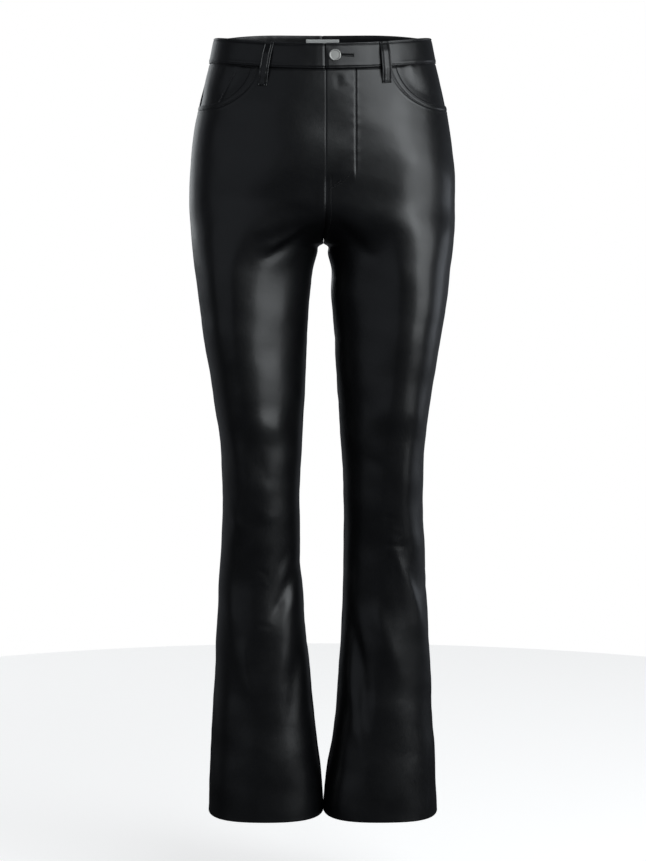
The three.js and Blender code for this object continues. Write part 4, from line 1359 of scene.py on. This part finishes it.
def knit_backing():
    """The brushed knit under the coating: matt, with fine ribs that run up the leg."""
    material, tree = new_material("brushed_knit_backing_black")
    place = object_place(tree)
    # Ribs 1.6 mm apart, coarser than the real knit so that they still show.
    relief = bump(tree, ribs(tree, place, "X", 200, 1.2), 0.5, 0.0003)
    tone = two_tones(tree, noise(tree, place, 900, 3), "1a1a1c", "2c2c2f")
    end_material(
        tree,
        {"Roughness": 0.95, "Sheen Weight": 0.25, "Sheen Roughness": 0.5,
         "Specular IOR Level": 0.2},
        {"Base Color": tone, "Normal": relief},
    )
    return material


def sewing_thread():
    """Twisted black polyester thread: a touch lighter than the leather, with a dry shine."""
    material, tree = new_material("twisted_polyester_thread_black")
    tone = two_tones(tree, noise(tree, object_place(tree), 3000, 2), "101012", "1b1b1e")
    end_material(tree, {"Roughness": 0.5, "Sheen Weight": 0.15}, {"Base Color": tone})
    return material


def woven_tape():
    """Pale grey woven label tape: matt, with crossing threads that catch a little light."""
    material, tree = new_material("woven_label_tape_grey")
    place = object_place(tree)
    across, down = (ribs(tree, place, direction, 420, 0.4) for direction in ("X", "Z"))
    weave = add_node(
        tree, "ShaderNodeMath", settings={"operation": "MULTIPLY"}, links={0: across, 1: down}
    ).outputs[0]
    tone = two_tones(tree, weave, "c9cac8", "e6e7e4")
    relief = bump(tree, weave, 0.4, 0.0002)
    end_material(tree, {"Roughness": 0.85}, {"Base Color": tone, "Normal": relief})
    return material


def satin_nickel():
    """Nickel plate over brass, tumbled to a satin: soft reflections with faint cloudy marks."""
    material, tree = new_material("satin_nickel_plate")
    marks = noise(tree, object_place(tree), 1500, 4)
    rough = add_node(
        tree, "ShaderNodeMapRange", links={"Value": marks}, values={"To Min": 0.34, "To Max": 0.5}
    ).outputs[0]
    end_material(
        tree,
        {"Base Color": srgb("a5a5a2"), "Metallic": 1.0},
        {"Roughness": rough, "Normal": bump(tree, marks, 0.08, 0.0001)},
    )
    return material


def studio_floor():
    """Matt white paper to the camera. The leather mirrors a floor that is shaded off."""
    material, tree = new_material("studio_floor_white")
    white = add_node(
        tree,
        "ShaderNodeBsdfPrincipled",
        values={"Base Color": srgb("f4f4f3"), "Roughness": 0.9, "Emission Color": srgb("ffffff"),
                "Emission Strength": 0.7, "Specular IOR Level": 0.1},
    )
    shaded = add_node(tree, "ShaderNodeBsdfDiffuse", values={"Color": srgb("4a4a4c")})
    both = by_ray(tree, shaded, white)
    add_node(tree, "ShaderNodeOutputMaterial", links={"Surface": both.outputs[0]})
    return material


# Studio

# Upright rectangles of light that face the trousers, in metres. Azimuth 0 is over the camera and
# grows to the right, low and high are heights, and roll tips the rectangle clockwise.
Softbox = namedtuple("Softbox", "name azimuth distance low high width radiance roll tint")
WINDOW_TINT = (0.93, 0.975, 1.0)
SKY_TINT = (0.85, 0.91, 1.0)
SOFTBOXES = [
    Softbox("softbox_front_right", 34, 3.0, 0.35, 2.6, 2.9, 2.6, -14, WINDOW_TINT),
    Softbox("softbox_right", 60, 1.7, -0.64, 0.5, 1.15, 2.4, 0, WINDOW_TINT),
    Softbox("softbox_front_left", -50, 3.0, -0.9, 1.4, 3.4, 0.25, 0, SKY_TINT),
    Softbox("softbox_left_rim", -118, 2.8, -0.6, 1.0, 1.0, 0.2, 0, SKY_TINT),
    Softbox("softbox_right_rim", 118, 2.6, -0.8, -0.1, 1.3, 0.9, 0, SKY_TINT),
    Softbox("softbox_back_left", 215, 3.2, -0.3, 1.2, 1.8, 1.0, 0, WINDOW_TINT),
]
FLOOR_RADIUS = 1.5
FLOOR_PLACE = (0, 0.75, -1.172)


def add_softbox(box):
    az = math.radians(box.azimuth)
    light = bpy.data.lights.new(box.name, "AREA")
    light.shape = "RECTANGLE"
    light.size, light.size_y = box.width, box.high - box.low
    light.energy = box.radiance * math.pi * light.size * light.size_y
    light.color = box.tint
    lamp = bpy.data.objects.new(box.name, light)
    height = (box.low + box.high) / 2
    lamp.location = (math.sin(az) * box.distance, -math.cos(az) * box.distance, height)
    upright, rolled = Euler((math.pi / 2, 0, az)), Euler((0, 0, math.radians(box.roll)))
    lamp.rotation_euler = (upright.to_matrix() @ rolled.to_matrix()).to_euler()
    lamp.visible_camera = False
    bpy.context.scene.collection.objects.link(lamp)


def studio():
    """A surround that is white to the camera and dim to all else, the softboxes and the floor."""
    world = bpy.data.worlds.new("studio")
    bpy.context.scene.world = world
    world.use_nodes = True
    tree = world.node_tree
    tree.nodes.clear()
    direction = add_node(tree, "ShaderNodeTexCoord").outputs["Generated"]
    parts = add_node(tree, "ShaderNodeSeparateXYZ", links={0: direction})
    behind = add_node(
        tree,
        "ShaderNodeMapRange",
        settings={"interpolation_type": "SMOOTHSTEP"},
        links={"Value": parts.outputs["Y"]},
        values={"From Min": 0.0, "From Max": 0.75, "To Min": 0.05, "To Max": 0.1},
    ).outputs[0]
    dim = add_node(
        tree, "ShaderNodeBackground", links={"Strength": behind}, values={"Color": (*SKY_TINT, 1)}
    )
    white = add_node(
        tree, "ShaderNodeBackground", values={"Color": (1, 1, 1, 1), "Strength": 1.0}
    )
    both = by_ray(tree, dim, white)
    add_node(tree, "ShaderNodeOutputWorld", links={"Surface": both.outputs[0]})
    for box in SOFTBOXES:
        add_softbox(box)
    bpy.ops.mesh.primitive_circle_add(
        vertices=128, radius=FLOOR_RADIUS, fill_type="NGON", location=FLOOR_PLACE
    )
    floor = bpy.context.object
    floor.name = "studio_floor"
    floor.data.materials.append(studio_floor())


IMAGE_HEIGHT = 861
FOCAL_PIXELS = 2362
CAMERA_PLACE = (0, -3.26, -0.30175)
CAMERA_TARGET = (0, 0, -0.51975)


def camera():
    data = bpy.data.cameras.new("camera")
    data.sensor_fit = "VERTICAL"
    data.sensor_height = 36
    data.lens = FOCAL_PIXELS * data.sensor_height / IMAGE_HEIGHT
    data.shift_x = 0.5 / IMAGE_HEIGHT
    data.clip_start = 0.05
    view = bpy.data.objects.new("camera", data)
    ahead, down = CAMERA_TARGET[1] - CAMERA_PLACE[1], CAMERA_PLACE[2] - CAMERA_TARGET[2]
    view.location = CAMERA_PLACE
    view.rotation_euler = (math.pi / 2 - math.atan2(down, ahead), 0, 0)
    bpy.context.scene.collection.objects.link(view)
    bpy.context.scene.camera = view


def ride(piece, slot, *nodes):
    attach(piece, "root")
    if nodes:
        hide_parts(*nodes)


def main():
    leather, backing, black_thread = coated_leather(), knit_backing(), sewing_thread()
    thread = Thread("stitching", black_thread)
    for leg in (LEFT, RIGHT):
        side = SIDE_NAMES[leg]
        for face in (FRONT, BACK):
            kind = "front" if face == FRONT else "back"
            panel = make_panel(face, leg, leather, backing)
            ride(panel, "leather", f"{kind}_panel_{side}")
        facing = make_facing(leg, leather, backing)
        ride(facing, "leather", f"pocket_facing_{side}")
        band = make_waistband(leg, leather)
        if leg == LEFT:
            cut(band, buttonhole_cutter())
        ride(band, "leather", f"waistband_{side}")
        stitch_mouth(thread, leg)
        stitch_waistband(thread, leg)
    coin = make_coin_pocket(leather, backing)
    ride(coin, "leather", "coin_pocket")
    for loop in LOOPS:
        piece = make_loop(loop, leather)
        ride(piece, "leather", f"belt_loop_{loop.name}")
        stitch_loop(loop, thread)
    label = make_label(woven_tape())
    ride(label, "label_cloth", "label")
    ride(make_button(satin_nickel()), "button_metal", "button")
    stitch_beside_seam(thread, FRONT, LEFT, FLY_STITCH, 908, WAIST_SEAM - 2, 0.5)
    stitch_beside_seam(thread, FRONT, LEFT, CROTCH_STITCH, 806, 866, 0.0)
    stitch_fly(thread)
    stitch_coin_pocket(thread)
    stitch_buttonhole(thread)
    ride(thread.finish(), "leather")
    studio()
    camera()
    scene = bpy.context.scene
    scene.view_settings.view_transform = "Standard"
    scene.view_settings.look = "None"
    scene.view_settings.exposure = 0


main()
